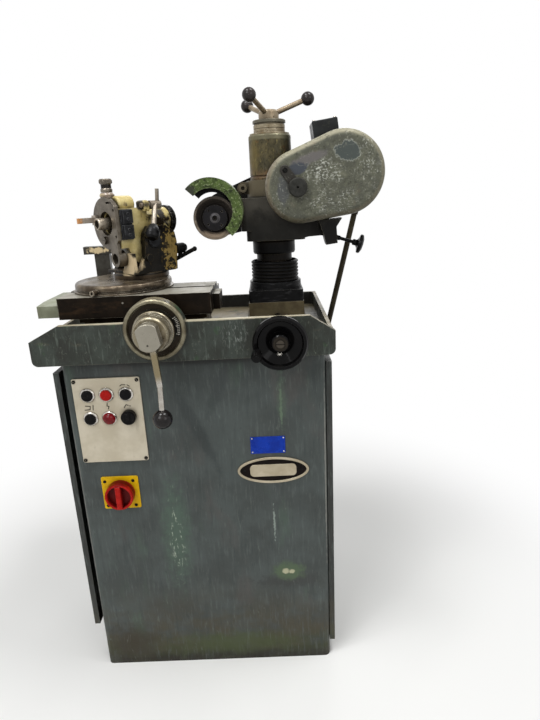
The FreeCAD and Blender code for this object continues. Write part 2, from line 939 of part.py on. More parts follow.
def belt(x1, z1, r1, x2, z2, r2, y):
    outer = pear(x1, z1, r1 + 5.3, x2, z2, r2 + 5.3, y - 6, y + 6)
    inner = pear(x1, z1, r1 + 0.3, x2, z2, r2 + 0.3, y - 7, y + 7)
    return outer.cut(inner)


def front_belt():
    return belt(motor_x, motor_z, 34, counter_x, counter_z, 24, -84)


def rear_belt():
    return belt(counter_x, counter_z, 41, wheel_x, wheel_z, 24, 154)


def rear_guard():
    outer = pear(counter_x, counter_z, 70, wheel_x, wheel_z, 52, 136, 174)
    outer = round_edges(outer, 4, at_y(174))
    inner = pear(counter_x, counter_z, 67.5, wheel_x, wheel_z, 49.5, 138.5, 171.5)
    shell = outer.cut(inner)
    for x, z in ((counter_x, counter_z), (wheel_x, wheel_z)):
        shell = shell.cut(cyl_y(x, z, 13, 130, 140))
    return shell


def belt_cover():
    outer = pear(motor_x, cover_z, 84, counter_x - 5, counter_z, 73, cover_front, cover_back)
    outer = round_edges(outer, 15, at_y(cover_front))
    inner = pear(motor_x, cover_z, 81.5, counter_x - 5, counter_z, 70.5, cover_front + 2.5, cover_back + 1)
    inner = round_edges(inner, 12.5, at_y(cover_front + 2.5))
    shell = outer.cut(inner)
    strap = box(-10, 10, cover_front - 4, cover_front, -14, 42)
    strap = strap.fuse(cyl_y(0, 42, 10, cover_front - 4, cover_front)).removeSplitter()
    strap = round_edges(strap, 1.2, at_y(cover_front - 4))
    strap.rotate(vec(0, 0, 0), Y, -36)
    strap.translate(vec(228, 0, 1089))
    shell = shell.fuse(strap)
    return shell.cut(cyl_y(228, 1089, 6 + running, -130, -90)).removeSplitter()


def cover_knob():
    profile = [
        (0, -101),
        (6, -101),
        (6, -110.5),
        (17.5, -110.5),
        (19, -112.5),
        (19, -120),
        (17, -122.5),
        (2.4, -122.5),
        (2.4, -118),
        (0, -118),
    ]
    return turned_y(228, 1089, profile)


def tension_knob():
    start, run = tension_line()
    profile = [
        (0, -10),
        (5, -10),
        (5, 30),
        (3.6, 31),
        (3.6, 57),
        (6.5, 59),
        (6.5, 66),
        (11, 69),
        (19.5, 71),
        (20.5, 74.5),
        (19, 78),
        (12, 81),
        (0, 82),
    ]
    return turned(start, run, profile)


def wheel_spindle():
    body = [
        (0, -126),
        (8, -126),
        (8, -112),
        (24, -112),
        (24, -105),
        (12, -103),
        (12, 140),
        (0, 140),
    ]
    shaft = turned_y(wheel_x, wheel_z, body)
    drive = pulley(wheel_x, wheel_z, 28, 142, 166, 7)
    tail = cyl_y(wheel_x, wheel_z, 10, 138, 168)
    clamp = turned_y(wheel_x, wheel_z, [(7, -120), (26, -120), (26, -125), (25, -126), (7, -126)])
    for i in range(4):
        a = math.radians(90 * i + 40)
        x = wheel_x + 19 * math.cos(a)
        z = wheel_z + 19 * math.sin(a)
        clamp = clamp.cut(cyl_y(x, z, 2.2, -127, -123))
    screw = [(0, -126), (7.5, -126), (7.5, -131), (6.5, -132), (3.6, -132), (3.6, -128), (0, -128)]
    return fuse(shaft, drive, tail, clamp, turned_y(wheel_x, wheel_z, screw))


def grinding_wheel():
    profile = [
        (8, -112),
        (33, -112),
        (wheel_r, -128),
        (wheel_r, -136),
        (wheel_r - 5, -136),
        (31, -122),
        (27, -120),
        (8, -120),
    ]
    return turned_y(wheel_x, wheel_z, profile)


def wheel_guard():
    front = -141
    back = -95
    profile = [
        (44, front),
        (guard_r, front),
        (guard_r, back),
        (36.5, back),
        (36.5, back - 2.5),
        (guard_r - 2.5, back - 2.5),
        (guard_r - 2.5, front + 2.5),
        (44, front + 2.5),
    ]
    points = [vec(r, y, 0) for r, y in profile]
    hood = Part.Face(Part.makePolygon(points + [points[0]])).revolve(vec(0, 0, 0), vec(0, -1, 0), 188)
    hood.rotate(vec(0, 0, 0), vec(0, -1, 0), -51)
    hood.translate(vec(guard_x, 0, guard_z))
    mount = cyl_y(wheel_x, wheel_z, 34, back - 2.5, back)
    solid = hood.fuse(mount)
    return solid.cut(cyl_y(wheel_x, wheel_z, 15, back - 10, back + 10)).removeSplitter()


parts = {
    "cabinet_shell": cabinet_shell(),
    "left_door": door(-291, -279, 113, 746, -285),
    "right_door": door(283, 271, 40, 746, 277),
    "bed_tray": bed_tray(),
    "switchgear": switchgear(),
    "control_panel": control_panel(),
    "button_bezels": button_bezels(),
    "start_button": push_button(0),
    "stop_button": push_button(1),
    "coolant_button": push_button(2),
    "jog_button": push_button(3),
    "pilot_lamp": pilot_lamp(),
    "selector_knob": selector_knob(),
    "switch_plate": switch_plate(),
    "main_switch_knob": main_switch_knob(),
    "front_plates": front_plates(),
    "traverse_ring": traverse_ring(),
    "traverse_hub": traverse_hub(),
    "traverse_lever": traverse_lever(),
    "lever_ball": lever_ball(),
    "slide_base": slide_base(),
    "table": table(),
    "table_end_cover": table_end_cover(),
    "stop_post": stop_post(),
    "conduit": conduit(),
    "turntable": turntable(),
    "pedestal": pedestal(),
    "tilt_nut": tilt_nut(),
    "rear_clamp_lever": rear_clamp_lever(),
    "work_housing": work_housing(),
    "face_plate": face_plate(),
    "guide_blocks": guide_blocks(),
    "lip_rest": lip_rest(),
    "work_spindle": work_spindle(),
    "index_plunger": index_plunger(),
    "work_lever": work_lever(),
    "cross_handwheel": cross_handwheel(),
    "handwheel_grip": handwheel_grip(),
    "cross_base": cross_base(),
    "cross_slide": cross_slide(),
    "column": column(),
    "bellows": bellows(),
    "column_sleeve": column_sleeve(),
    "sleeve_cap": sleeve_cap(),
    "star_handle": star_handle(),
    "star_balls": star_balls(),
    "head_casting": head_casting(),
    "motor_body": motor_body(),
    "motor_pulley": motor_pulley(),
    "front_belt": front_belt(),
    "counter_shaft": counter_shaft(),
    "rear_belt": rear_belt(),
    "rear_guard": rear_guard(),
    "belt_cover": belt_cover(),
    "cover_knob": cover_knob(),
    "tension_knob": tension_knob(),
    "wheel_spindle": wheel_spindle(),
    "grinding_wheel": grinding_wheel(),
    "wheel_guard": wheel_guard(),
}

os.makedirs("parts", exist_ok=True)
for node, shape in parts.items():
    shape.exportStep("parts/" + node + ".step")
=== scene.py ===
import bpy
import math
from mathutils import Matrix, Vector


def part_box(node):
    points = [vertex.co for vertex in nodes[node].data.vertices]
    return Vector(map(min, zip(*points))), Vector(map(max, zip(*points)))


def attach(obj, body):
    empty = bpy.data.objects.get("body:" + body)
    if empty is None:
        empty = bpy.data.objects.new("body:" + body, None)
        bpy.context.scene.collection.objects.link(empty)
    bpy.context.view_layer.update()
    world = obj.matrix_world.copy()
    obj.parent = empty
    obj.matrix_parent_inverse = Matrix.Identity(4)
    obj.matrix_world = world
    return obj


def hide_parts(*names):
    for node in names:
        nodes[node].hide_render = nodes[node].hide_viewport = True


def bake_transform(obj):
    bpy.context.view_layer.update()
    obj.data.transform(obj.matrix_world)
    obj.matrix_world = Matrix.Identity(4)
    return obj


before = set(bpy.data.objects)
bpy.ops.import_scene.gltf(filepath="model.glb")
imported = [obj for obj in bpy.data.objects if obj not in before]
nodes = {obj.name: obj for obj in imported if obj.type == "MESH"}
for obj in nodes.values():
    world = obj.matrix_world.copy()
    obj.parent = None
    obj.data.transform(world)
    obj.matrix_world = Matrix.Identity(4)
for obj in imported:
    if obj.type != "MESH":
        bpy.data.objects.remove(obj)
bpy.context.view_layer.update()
print("frame loaded:", len(nodes), "nodes")


# camera: the photograph's standpoint
photoView = dict(
    place=(0.16706, -1.25906, 1.07835),
    pitch=17.03,   # degrees down
    yaw=-0.56,
    roll=2.65,
    lens=27.05,
    sensor=36,
    farEnd=100,
)


def setCamera(view):
    pitch, yaw, roll = (math.radians(view[k]) for k in ("pitch", "yaw", "roll"))
    ahead = Vector((math.sin(yaw) * math.cos(pitch), math.cos(yaw) * math.cos(pitch), -math.sin(pitch)))
    level = Vector((math.cos(yaw), -math.sin(yaw), 0))
    top = level.cross(ahead)
    side = level * math.cos(roll) - top * math.sin(roll)
    up = level * math.sin(roll) + top * math.cos(roll)
    camera = bpy.data.objects.new("photoCamera", bpy.data.cameras.new("photoCamera"))
    bpy.context.scene.collection.objects.link(camera)
    turn = Matrix((side, up, -ahead)).transposed().to_4x4()
    camera.matrix_world = Matrix.Translation(view["place"]) @ turn
    camera.data.lens = view["lens"]
    camera.data.sensor_width = view["sensor"]
    camera.data.clip_end = view["farEnd"]
    bpy.context.scene.camera = camera


setCamera(photoView)
bpy.context.scene.view_settings.view_transform = "Standard"
print("camera set")


# what a finish has when its own dictionary doesn't say; sizes in metres
plainWay = (1, 1, 1)   # a pattern that isn't stretched
noTurn = (0, 0, 0)
finishDefaults = dict(
    patch=0.06,
    seed=0.0,
    metal=0.0,
    shine=0.3,
    coat=0.0,
    coatRough=0.15,
    polish=0.025,
    polishWay=plainWay,
    fine=0.002,
    fineWay=plainWay,
    bump=0.15,
    round=0.0012,
    faces=[],
    bands=[],
    streaks=[],
    marks=[],
    scratches=[],
)
# noise of each kind: the values between which it comes in, its place in the seeds, its detail
noiseKinds = dict(
    patch=dict(cut=(0.36, 0.64), seed=0, detail=4.0),
    band=dict(cut=(0.3, 0.6), seed=7, detail=4.0),
    edge=dict(cut=(0.3, 0.62), seed=5, detail=4.0),
    dirtAndShade=dict(cut=(0.2, 0.6), seed=9, detail=4.0),
    polish=dict(cut=(0.3, 0.7), seed=11, detail=5.0),
)
edgeGrain = 0.02
dirtAndShadeGrain = 0.03
fineNoise = dict(seed=13, detail=3.0)
streakDetail = 5.0
bumpHeight = 0.001
# scratches: how long the gaps in a line are, where they come in, and the line's detail
lineGaps = dict(size=1.5, seed=3, cut=(0.48, 0.62), detail=2.0)
wornCut = (0.78, 0.985)   # agreement of soft and flat normals
cornerCut = (0.25, 0.95)   # share of open sky
hollowCut = (-0.2, -0.6)


# node helpers for the finishes

def tint(colour):   # screen colour 0..255 to the shader's linear colour
    return tuple(((c / 255 + 0.055) / 1.055) ** 2.4 if c > 10 else c / 3294.6 for c in colour) + (1.0,)


def feed(tree, socket, value):
    if isinstance(value, bpy.types.NodeSocket):
        tree.links.new(value, socket)
    else:
        socket.default_value = value


def addNode(tree, kind, settings=None, sockets=None):
    node = tree.nodes.new("ShaderNode" + kind)
    for key, value in (settings or {}).items():
        setattr(node, key, value)
    for key, value in (sockets or {}).items():
        feed(tree, node.inputs[key], value)
    return node


def place(tree):
    return addNode(tree, "TexCoord").outputs["Object"]


def sums(tree, operation, a, b=0.0):
    return addNode(tree, "Math", {"operation": operation}, {0: a, 1: b}).outputs[0]


def vectors(tree, operation, a, b=None):
    sockets = {0: a} if b is None else {0: a, 1: b}
    return addNode(tree, "VectorMath", {"operation": operation}, sockets).outputs


def stepUp(tree, value, low, high, start=0.0, end=1.0):
    sockets = {"Value": value, "From Min": low, "From Max": high, "To Min": start, "To Max": end}
    return addNode(tree, "MapRange", {"interpolation_type": "SMOOTHSTEP"}, sockets).outputs["Result"]


def mixIn(tree, amount, under, over):
    return addNode(tree, "Mix", {"data_type": "RGBA"}, {0: amount, 6: under, 7: over}).outputs[2]


def grain(tree, size, stretch=plainWay, detail=4.0, seed=0.0, turn=noTurn):
    scale = [1 / (size * s) for s in stretch]
    moved = addNode(tree, "Mapping", None, {"Vector": place(tree), "Scale": scale, "Rotation": turn})
    sockets = {"Vector": moved.outputs[0], "W": seed, "Scale": 1.0, "Detail": detail, "Roughness": 0.6}
    return addNode(tree, "TexNoise", {"noise_dimensions": "4D"}, sockets).outputs["Fac"]


def hairlines(tree, line, seed):   # thin wandering lines, as scratches are
    wander = grain(tree, line["size"], line["stretch"], lineGaps["detail"], seed, line["turn"])
    off = sums(tree, "ABSOLUTE", sums(tree, "SUBTRACT", wander, 0.5))
    thin = stepUp(tree, off, 0.0, line["width"], 1.0, 0.0)
    gaps = grain(tree, line["size"] * lineGaps["size"], seed=seed + lineGaps["seed"])
    return sums(tree, "MULTIPLY", thin, stepUp(tree, gaps, *lineGaps["cut"]))


def edgeWear(tree, radius):   # 1 along the edges
    soft = addNode(tree, "Bevel", {"samples": 6}, {"Radius": radius}).outputs[0]
    flat = addNode(tree, "NewGeometry").outputs["Normal"]
    return stepUp(tree, vectors(tree, "DOT_PRODUCT", soft, flat)["Value"], *wornCut, 1.0, 0.0)


# mask for dirt and painted shade: 1 where little open sky reaches, in corners, recesses and under overhangs
def corners(tree, reach):   # 1 in corners and under overhangs
    clear = addNode(tree, "AmbientOcclusion", {"samples": 8}, {"Distance": reach}).outputs["AO"]
    return stepUp(tree, clear, *cornerCut, 1.0, 0.0)


def patchAt(tree, mark):   # 1 inside an uneven patch round a point
    sockets = {"Vector": place(tree), "Location": mark["at"], "Rotation": mark["turn"], "Scale": mark["reach"]}
    near = addNode(tree, "Mapping", {"vector_type": "TEXTURE"}, sockets).outputs[0]
    far = vectors(tree, "LENGTH", near)["Value"]
    uneven = sums(tree, "SUBTRACT", grain(tree, mark["grain"], seed=mark["seed"]), 0.5)
    far = sums(tree, "ADD", far, sums(tree, "MULTIPLY", uneven, mark["ragged"]))
    return sums(tree, "MULTIPLY", stepUp(tree, far, 1 - mark["soft"], 1.0, 1.0, 0.0), mark["amount"])


def heightBand(tree, low, high):   # 0 at low, 1 at high
    return stepUp(tree, addNode(tree, "SeparateXYZ", None, {0: place(tree)}).outputs[2], low, high)


def ownNormal(tree):
    return addNode(tree, "TexCoord").outputs["Normal"]


def facing(tree, axis, low, high):   # how far a face looks along an axis: 0 at low, 1 at high
    return stepUp(tree, addNode(tree, "SeparateXYZ", None, {0: ownNormal(tree)}).outputs[axis], low, high)


def hollowSide(tree, at):   # 1 on faces that look towards a line along Y
    flat = vectors(tree, "MULTIPLY", vectors(tree, "SUBTRACT", place(tree), at)[0], (1, 0, 1))[0]
    out = vectors(tree, "NORMALIZE", flat)[0]
    return stepUp(tree, vectors(tree, "DOT_PRODUCT", out, ownNormal(tree))["Value"], *hollowCut)


def unevenness(tree, kind, size, stretch, seed, start=0.0, end=1.0):
    noise = noiseKinds[kind]
    value = grain(tree, size, stretch, noise["detail"], seed + noise["seed"])
    return stepUp(tree, value, *noise["cut"], start, end)


def agedTone(tree, look):   # the colour, laid on coat by coat
    seed = look["seed"]

    def cover(tone, share, amount, colour):
        return mixIn(tree, sums(tree, "MULTIPLY", share, amount), tone, tint(colour))

    def patchy(kind, size, stretch=plainWay):
        return unevenness(tree, kind, size, stretch, seed)

    tone = mixIn(tree, patchy("patch", look["patch"]), tint(look["main"]), tint(look["second"]))
    for way in look["faces"]:
        tone = cover(tone, facing(tree, way["axis"], *way["cut"]), way["amount"], way["colour"])
    for strip in look["bands"]:
        rough = sums(tree, "MULTIPLY", patchy("band", strip["size"], strip["stretch"]), strip["amount"])
        tone = cover(tone, heightBand(tree, *strip["cut"]), rough, strip["colour"])
    for run in look["streaks"]:
        flow = grain(tree, run["size"], run["stretch"], streakDetail, seed + run["seed"])
        share = stepUp(tree, flow, *run["cut"], 0.0, run["amount"])
        if run["within"]:
            share = sums(tree, "MULTIPLY", share, patchAt(tree, run["within"]))
        tone = mixIn(tree, share, tone, tint(run["colour"]))
    for mark in look["marks"]:
        tone = mixIn(tree, patchAt(tree, mark), tone, tint(mark["colour"]))
    for line in look["scratches"]:
        thin = hairlines(tree, line, seed + line["seed"])
        if line["within"]:
            thin = sums(tree, "MULTIPLY", thin, patchAt(tree, line["within"]))
        tone = cover(tone, thin, line["amount"], line["colour"])
    if "inside" in look:
        at, colour = look["inside"]
        tone = mixIn(tree, hollowSide(tree, at), tone, tint(colour))
    if "edge" in look:
        colour, radius, amount = look["edge"]
        worn = sums(tree, "MULTIPLY", edgeWear(tree, radius), patchy("edge", edgeGrain))
        tone = cover(tone, worn, amount, colour)
    # dirt and painted shade: a darker colour laid into corners, recesses and undersides where little open sky
    # reaches
    if "dirtAndShade" in look:
        colour, reach, amount = look["dirtAndShade"]
        grimeAndShade = sums(tree, "MULTIPLY", corners(tree, reach), patchy("dirtAndShade", dirtAndShadeGrain))
        tone = cover(tone, grimeAndShade, amount, colour)
    return tone


def aged(look):
    look = dict(finishDefaults, **look)
    mat = bpy.data.materials.new(look["name"])
    mat.use_nodes = True
    tree = mat.node_tree
    shader = tree.nodes["Principled BSDF"]
    polish = unevenness(tree, "polish", look["polish"], look["polishWay"], look["seed"], *look["rough"])
    fine = grain(tree, look["fine"], look["fineWay"], fineNoise["detail"], look["seed"] + fineNoise["seed"])
    rounded = addNode(tree, "Bevel", {"samples": 4}, {"Radius": look["round"]}).outputs[0]
    bump = {"Strength": look["bump"], "Distance": bumpHeight, "Height": fine, "Normal": rounded}
    for socket, value in (
        ("Base Color", agedTone(tree, look)),
        ("Metallic", look["metal"]),
        ("Specular IOR Level", look["shine"]),
        ("Roughness", polish),
        ("Coat Weight", look["coat"]),
        ("Coat Roughness", look["coatRough"]),
        ("Normal", addNode(tree, "Bump", None, bump).outputs[0]),
    ):
        feed(tree, shader.inputs[socket], value)
    return mat


# what a finish is made of; a cut is where a colour starts and where it is full

def side(axis, low, high, colour, amount):   # on faces that look along an axis
    return dict(axis=axis, cut=(low, high), colour=colour, amount=amount)


def topSide(colour, amount):
    return side(2, 0.6, 0.9, colour, amount)


def band(low, high, colour, size=0.05, wide=1, tall=1, amount=1.0):   # over a range of heights
    return dict(cut=(low, high), colour=colour, size=size, stretch=(wide, wide, tall), amount=amount)


def wash(colour, size, cut, wide=1, tall=1, amount=1.0, seed=1, within=None):   # blotches and streaks
    stretch = (wide, wide, tall)
    return dict(colour=colour, size=size, cut=cut, stretch=stretch, amount=amount, seed=seed, within=within)


def spot(at, reach, colour=None, **more):   # one uneven patch
    rest = dict(turn=noTurn, grain=0.012, ragged=1.2, soft=0.2, seed=1, amount=1.0)
    return dict(rest, **more, at=at, reach=reach, colour=colour)


cabinetFront = -0.21
spotDepth = 0.05


def frontSpot(x, z, wide, tall, colour=None, **more):   # on the cabinet's front
    return spot((x, cabinetFront, z), (wide, spotDepth, tall), colour, **more)


def scratch(colour, size, width, seed, wide=1, tall=1, turn=noTurn, amount=1.0, within=None):   # hairlines
    line = dict(colour=colour, size=size, width=width, seed=seed, stretch=(wide, wide, tall))
    return dict(line, turn=turn, amount=amount, within=within)


def dress(look, *names):
    mat = aged(look)
    for name in names:
        nodes[name].data.materials.clear()
        nodes[name].data.materials.append(mat)


# cabinet and doors: grey-green paint, washed down in streaks
cabinetPaint = dict(
    name="cabinetPaint",
    main=(73, 80, 78),
    second=(62, 67, 65),
    patch=0.1,
    rough=(0.36, 0.56),
    bump=0.1,
    fine=0.003,
    edge=((150, 152, 140), 0.0014, 0.5),
    dirtAndShade=((38, 36, 30), 0.05, 0.8),
    bands=[
        # painted shade: the cabinet's front darker under the tray's overhang
        band(0.63, 0.775, (50, 55, 53), size=0.08, amount=0.8),
        band(0.26, 0.04, (70, 65, 50), size=0.09, tall=0.6),
        band(0.1, 0.02, (56, 62, 36), size=0.06, wide=2, tall=0.6),
        band(0.045, 0.0, (34, 29, 20), size=0.03),
    ],
    streaks=[
        wash((94, 102, 99), 0.006, (0.5, 0.72), tall=8, amount=0.5),
        wash((52, 58, 57), 0.014, (0.5, 0.72), tall=9, amount=0.6, seed=2),
        wash((74, 96, 78), 0.08, (0.56, 0.72), tall=3, amount=0.5, seed=4),
        wash((84, 79, 76), 0.09, (0.54, 0.7), tall=2, amount=0.5, seed=6),
        wash((108, 115, 110), 0.003, (0.6, 0.74), tall=7, amount=0.4, seed=12),
        wash((46, 50, 49), 0.004, (0.6, 0.72), tall=6, amount=0.5, seed=15),
    ],
    marks=[
        # painted shadow: a dark strip just under the tray's apron
        frontSpot(0, 0.765, 0.3, 0.015, (22, 24, 22), ragged=0.3, soft=0.7, amount=0.9),
        frontSpot(-0.004, 0.61, 0.018, 0.14, (46, 51, 51), turn=(0, -0.41, 0), ragged=0.9, soft=0.6, amount=0.6),
        frontSpot(0.042, 0.69, 0.018, 0.075, (50, 55, 55), turn=(0, 0.37, 0), ragged=0.9, soft=0.7, amount=0.5),
        frontSpot(0.176, 0.222, 0.1, 0.022, (56, 57, 56), ragged=2.2, soft=0.6, amount=0.6),
        frontSpot(0.177, 0.248, 0.05, 0.032, (80, 97, 72), ragged=1.1, soft=0.6, amount=0.9),
        frontSpot(0.171, 0.2475, 0.0105, 0.009, (176, 174, 144), ragged=0.9, soft=0.5, grain=0.006),
        frontSpot(0.185, 0.246, 0.0085, 0.007, (176, 174, 144), ragged=0.9, soft=0.5, grain=0.006),
        frontSpot(0.04, 0.05, 0.2, 0.042, (66, 75, 44), ragged=1.4, soft=0.8, grain=0.03, amount=0.8),
        frontSpot(-0.2, 0.06, 0.08, 0.08, (54, 48, 36), ragged=1.4, soft=0.8, grain=0.03, amount=0.8),
        frontSpot(-0.07, 0.36, 0.045, 0.18, (76, 96, 82), soft=0.8, amount=0.7),
        frontSpot(0.176, 0.67, 0.014, 0.08, (80, 98, 80), ragged=1.8, soft=0.8, amount=0.4),
        frontSpot(0.175, 0.655, 0.0034, 0.062, (98, 117, 95), ragged=2.6, soft=0.6, grain=0.008, amount=0.7),
        frontSpot(0.15, 0.38, 0.0026, 0.046, (140, 150, 142), ragged=3.4, soft=0.5, grain=0.007, amount=0.8),
        # painted highlights: pale lines down the rounded front corners
        spot((-0.2665, -0.2065, 0.4), (0.0035, 0.0035, 0.38), (128, 128, 122), soft=0.6, amount=0.7),
        spot((0.2665, -0.2065, 0.5), (0.0035, 0.0035, 0.28), (146, 146, 138), soft=0.6, amount=0.7),
    ],
    scratches=[
        scratch(
            (170, 180, 162), 0.008,
            tall=7, width=0.06, seed=21, amount=0.9, within=frontSpot(-0.07, 0.345, 0.02, 0.14, soft=0.6),
        ),
        scratch((130, 140, 130), 0.02, tall=14, width=0.008, seed=31, amount=0.2),
    ],
)
dress(cabinetPaint, "cabinet_shell")
# the doors' forward-facing faces darker: partly dirt, partly painted shade of their recess
doorFrontShadeAndDirt = side(1, -0.7, -0.95, (42, 42, 39), 0.85)
dress(dict(cabinetPaint, name="doorPaintShadeAndDirt", faces=[doorFrontShadeAndDirt]), "left_door", "right_door")

# tray: the same paint, worn by swarf and coolant
trayRear = (0, 0.23, 0.8)   # inner side of the back wall
trayPaint = dict(
    name="trayPaint",
    main=(53, 59, 53),
    second=(37, 40, 34),
    patch=0.05,
    seed=40,
    rough=(0.36, 0.58),
    bump=0.25,
    fine=0.004,
    edge=((150, 145, 124), 0.0018, 0.45),
    dirtAndShade=((34, 30, 22), 0.06, 0.85),
    faces=[topSide((132, 120, 94), 0.75)],
    streaks=[
        wash((100, 110, 101), 0.006, (0.52, 0.72), tall=7, amount=0.6),
        wash((48, 78, 46), 0.04, (0.58, 0.7), tall=1.5, amount=0.65, seed=3),
        wash((34, 34, 29), 0.035, (0.52, 0.68), tall=2, amount=0.75, seed=5),
        wash((88, 80, 62), 0.03, (0.58, 0.75), wide=2, amount=0.4, seed=8),
        wash(
            (150, 156, 150), 0.003, (0.52, 0.64),
            tall=4, amount=0.75, seed=11,
            within=spot((0.092, -0.24, 0.822), (0.036, 0.02, 0.036), ragged=1.0, soft=0.8),
        ),
    ],
    scratches=[scratch((150, 156, 140), 0.01, tall=3, width=0.012, seed=9, amount=0.3)],
    marks=[
        # worn bright line with a painted highlight along the apron's top edge
        spot((0, -0.233, 0.8525), (0.3, 0.013, 0.0036), (190, 182, 158), ragged=0.5, soft=0.4, amount=0.9),
        spot(trayRear, (0.4, 0.0045, 0.04), (30, 29, 31), ragged=0.3, soft=0.3, amount=0.85),
    ],
)
dress(trayPaint, "bed_tray")
print("cabinet and tray painted")


# control panel
panelPlate = dict(
    name="panelPlate",
    main=(204, 195, 175),
    second=(190, 180, 158),
    patch=0.05,
    seed=60,
    metal=0.2,
    rough=(0.35, 0.5),
    polishWay=(8, 1, 1),
    bump=0.05,
    fineWay=(20, 1, 1),
    edge=((220, 214, 200), 0.001, 0.5),
    dirtAndShade=((90, 80, 62), 0.012, 0.8),
    streaks=[wash((150, 138, 112), 0.012, (0.6, 0.75), tall=3, amount=0.35)],
)
dress(panelPlate, "control_panel")

bezelChrome = dict(
    name="bezelChrome",
    main=(206, 202, 194),
    second=(178, 174, 166),
    patch=0.01,
    seed=62,
    metal=1.0,
    rough=(0.16, 0.34),
    bump=0.03,
    dirtAndShade=((60, 54, 44), 0.006, 0.6),
)
dress(bezelChrome, "button_bezels")

blackPlastic = dict(
    name="blackPlastic",
    main=(14, 14, 15),
    second=(20, 19, 19),
    patch=0.02,
    seed=64,
    rough=(0.14, 0.32),
    shine=0.07,
    bump=0.04,
    edge=((66, 62, 58), 0.001, 0.35),
    scratches=[scratch((90, 86, 80), 0.006, tall=3, width=0.02, seed=4, amount=0.25)],
)
dress(blackPlastic, "start_button", "coolant_button", "jog_button", "selector_knob")

redPlastic = dict(
    name="redPlastic",
    main=(180, 30, 22),
    second=(158, 22, 17),
    patch=0.02,
    seed=66,
    rough=(0.28, 0.45),
    shine=0.1,
    bump=0.05,
    edge=((206, 70, 56), 0.001, 0.5),
    dirtAndShade=((84, 12, 12), 0.02, 0.9),
)
dress(redPlastic, "stop_button")
switchRed = dict(
    redPlastic,
    name="switchRed",
    # painted shade: the knob's upward-facing side wall darker red
    faces=[topSide((108, 16, 13), 0.9)],
    # painted shade: darker red in the recess and round the knob's base
    marks=[spot((-0.183, -0.2215, 0.468), (1, 0.005, 1), (86, 9, 9), ragged=0.1, soft=0.3, amount=0.9)],
)
dress(switchRed, "main_switch_knob")

lampLens = dict(
    name="lampLens",
    main=(128, 8, 18),
    second=(98, 4, 10),
    patch=0.012,
    seed=68,
    rough=(0.1, 0.22),
    shine=0.12,
    coat=0.18,
    coatRough=0.06,
    bump=0.03,
    fine=0.0016,
)
dress(lampLens, "pilot_lamp")

switchYellow = dict(
    name="switchYellow",
    main=(228, 184, 12),
    second=(212, 166, 10),
    patch=0.02,
    seed=70,
    rough=(0.3, 0.46),
    shine=0.12,
    bump=0.05,
    edge=((250, 226, 120), 0.0012, 0.5),
    dirtAndShade=((120, 92, 20), 0.014, 0.7),
)
dress(switchYellow, "switch_plate")
print("panel dressed")


# traverse drive
turnedSteel = dict(
    name="turnedSteel",
    main=(150, 142, 122),
    second=(122, 112, 90),
    patch=0.02,
    seed=80,
    metal=0.75,
    rough=(0.26, 0.44),
    polish=0.006,
    bump=0.06,
    edge=((214, 208, 190), 0.0012, 0.8),
    dirtAndShade=((36, 29, 20), 0.014, 0.95),
    streaks=[wash((88, 76, 54), 0.012, (0.56, 0.72), amount=0.6)],
)
hubAxis = (-0.062, -0.29, 0.838)
ringSteel = dict(
    turnedSteel,
    name="ringSteel",
    main=(132, 126, 106),
    second=(104, 97, 78),
    marks=[spot(hubAxis, (0.0511, 1, 0.0511), (36, 30, 22), ragged=0.05, soft=0.02)],
)
dress(ringSteel, "traverse_ring")
hubSteel = dict(
    turnedSteel,
    name="hubSteel",
    # bright edges: wear and a painted highlight along the cap's edges
    edge=((224, 220, 206), 0.0024, 0.9),
    marks=[
        spot((-0.062, -0.2525, 0.838), (1, 0.0085, 1), (60, 50, 36), ragged=0.3, soft=0.3, amount=0.8),
        spot((-0.062, -0.311, 0.838), (1, 0.0195, 1), (146, 142, 131), ragged=0.0, soft=0.02, amount=0.8),
        spot((-0.036, -0.285, 0.822), (0.012, 0.012, 0.03), (66, 55, 40), ragged=1.4, soft=0.6, amount=0.7),
        spot((-0.0635, -0.311, 0.8245), (0.0022, 0.01, 0.0022), (70, 66, 58), ragged=0.3, grain=0.003),
    ],
)
dress(hubSteel, "traverse_hub")

leverChrome = dict(
    name="leverChrome",
    main=(186, 182, 174),
    second=(156, 150, 140),
    patch=0.04,
    seed=82,
    metal=0.9,
    rough=(0.14, 0.24),
    bump=0.04,
    marks=[spot((-0.0535, -0.3035, 0.785), (0.03, 0.03, 0.039), (132, 121, 95), ragged=0.3, soft=0.5)],
    dirtAndShade=((60, 50, 36), 0.012, 0.7),
)
dress(leverChrome, "traverse_lever")

ballPlastic = dict(
    name="ballPlastic",
    main=(36, 33, 32),
    second=(48, 42, 41),
    patch=0.015,
    seed=84,
    rough=(0.12, 0.24),
    shine=0.2,
    bump=0.05,
    scratches=[scratch((120, 112, 106), 0.008, tall=2, width=0.02, seed=6, amount=0.2)],
)
dress(ballPlastic, "star_balls")
leverBall = dict(ballPlastic, name="leverBall", main=(22, 20, 20), second=(32, 28, 27), rough=(0.08, 0.16), seed=85)
dress(leverBall, "lever_ball")

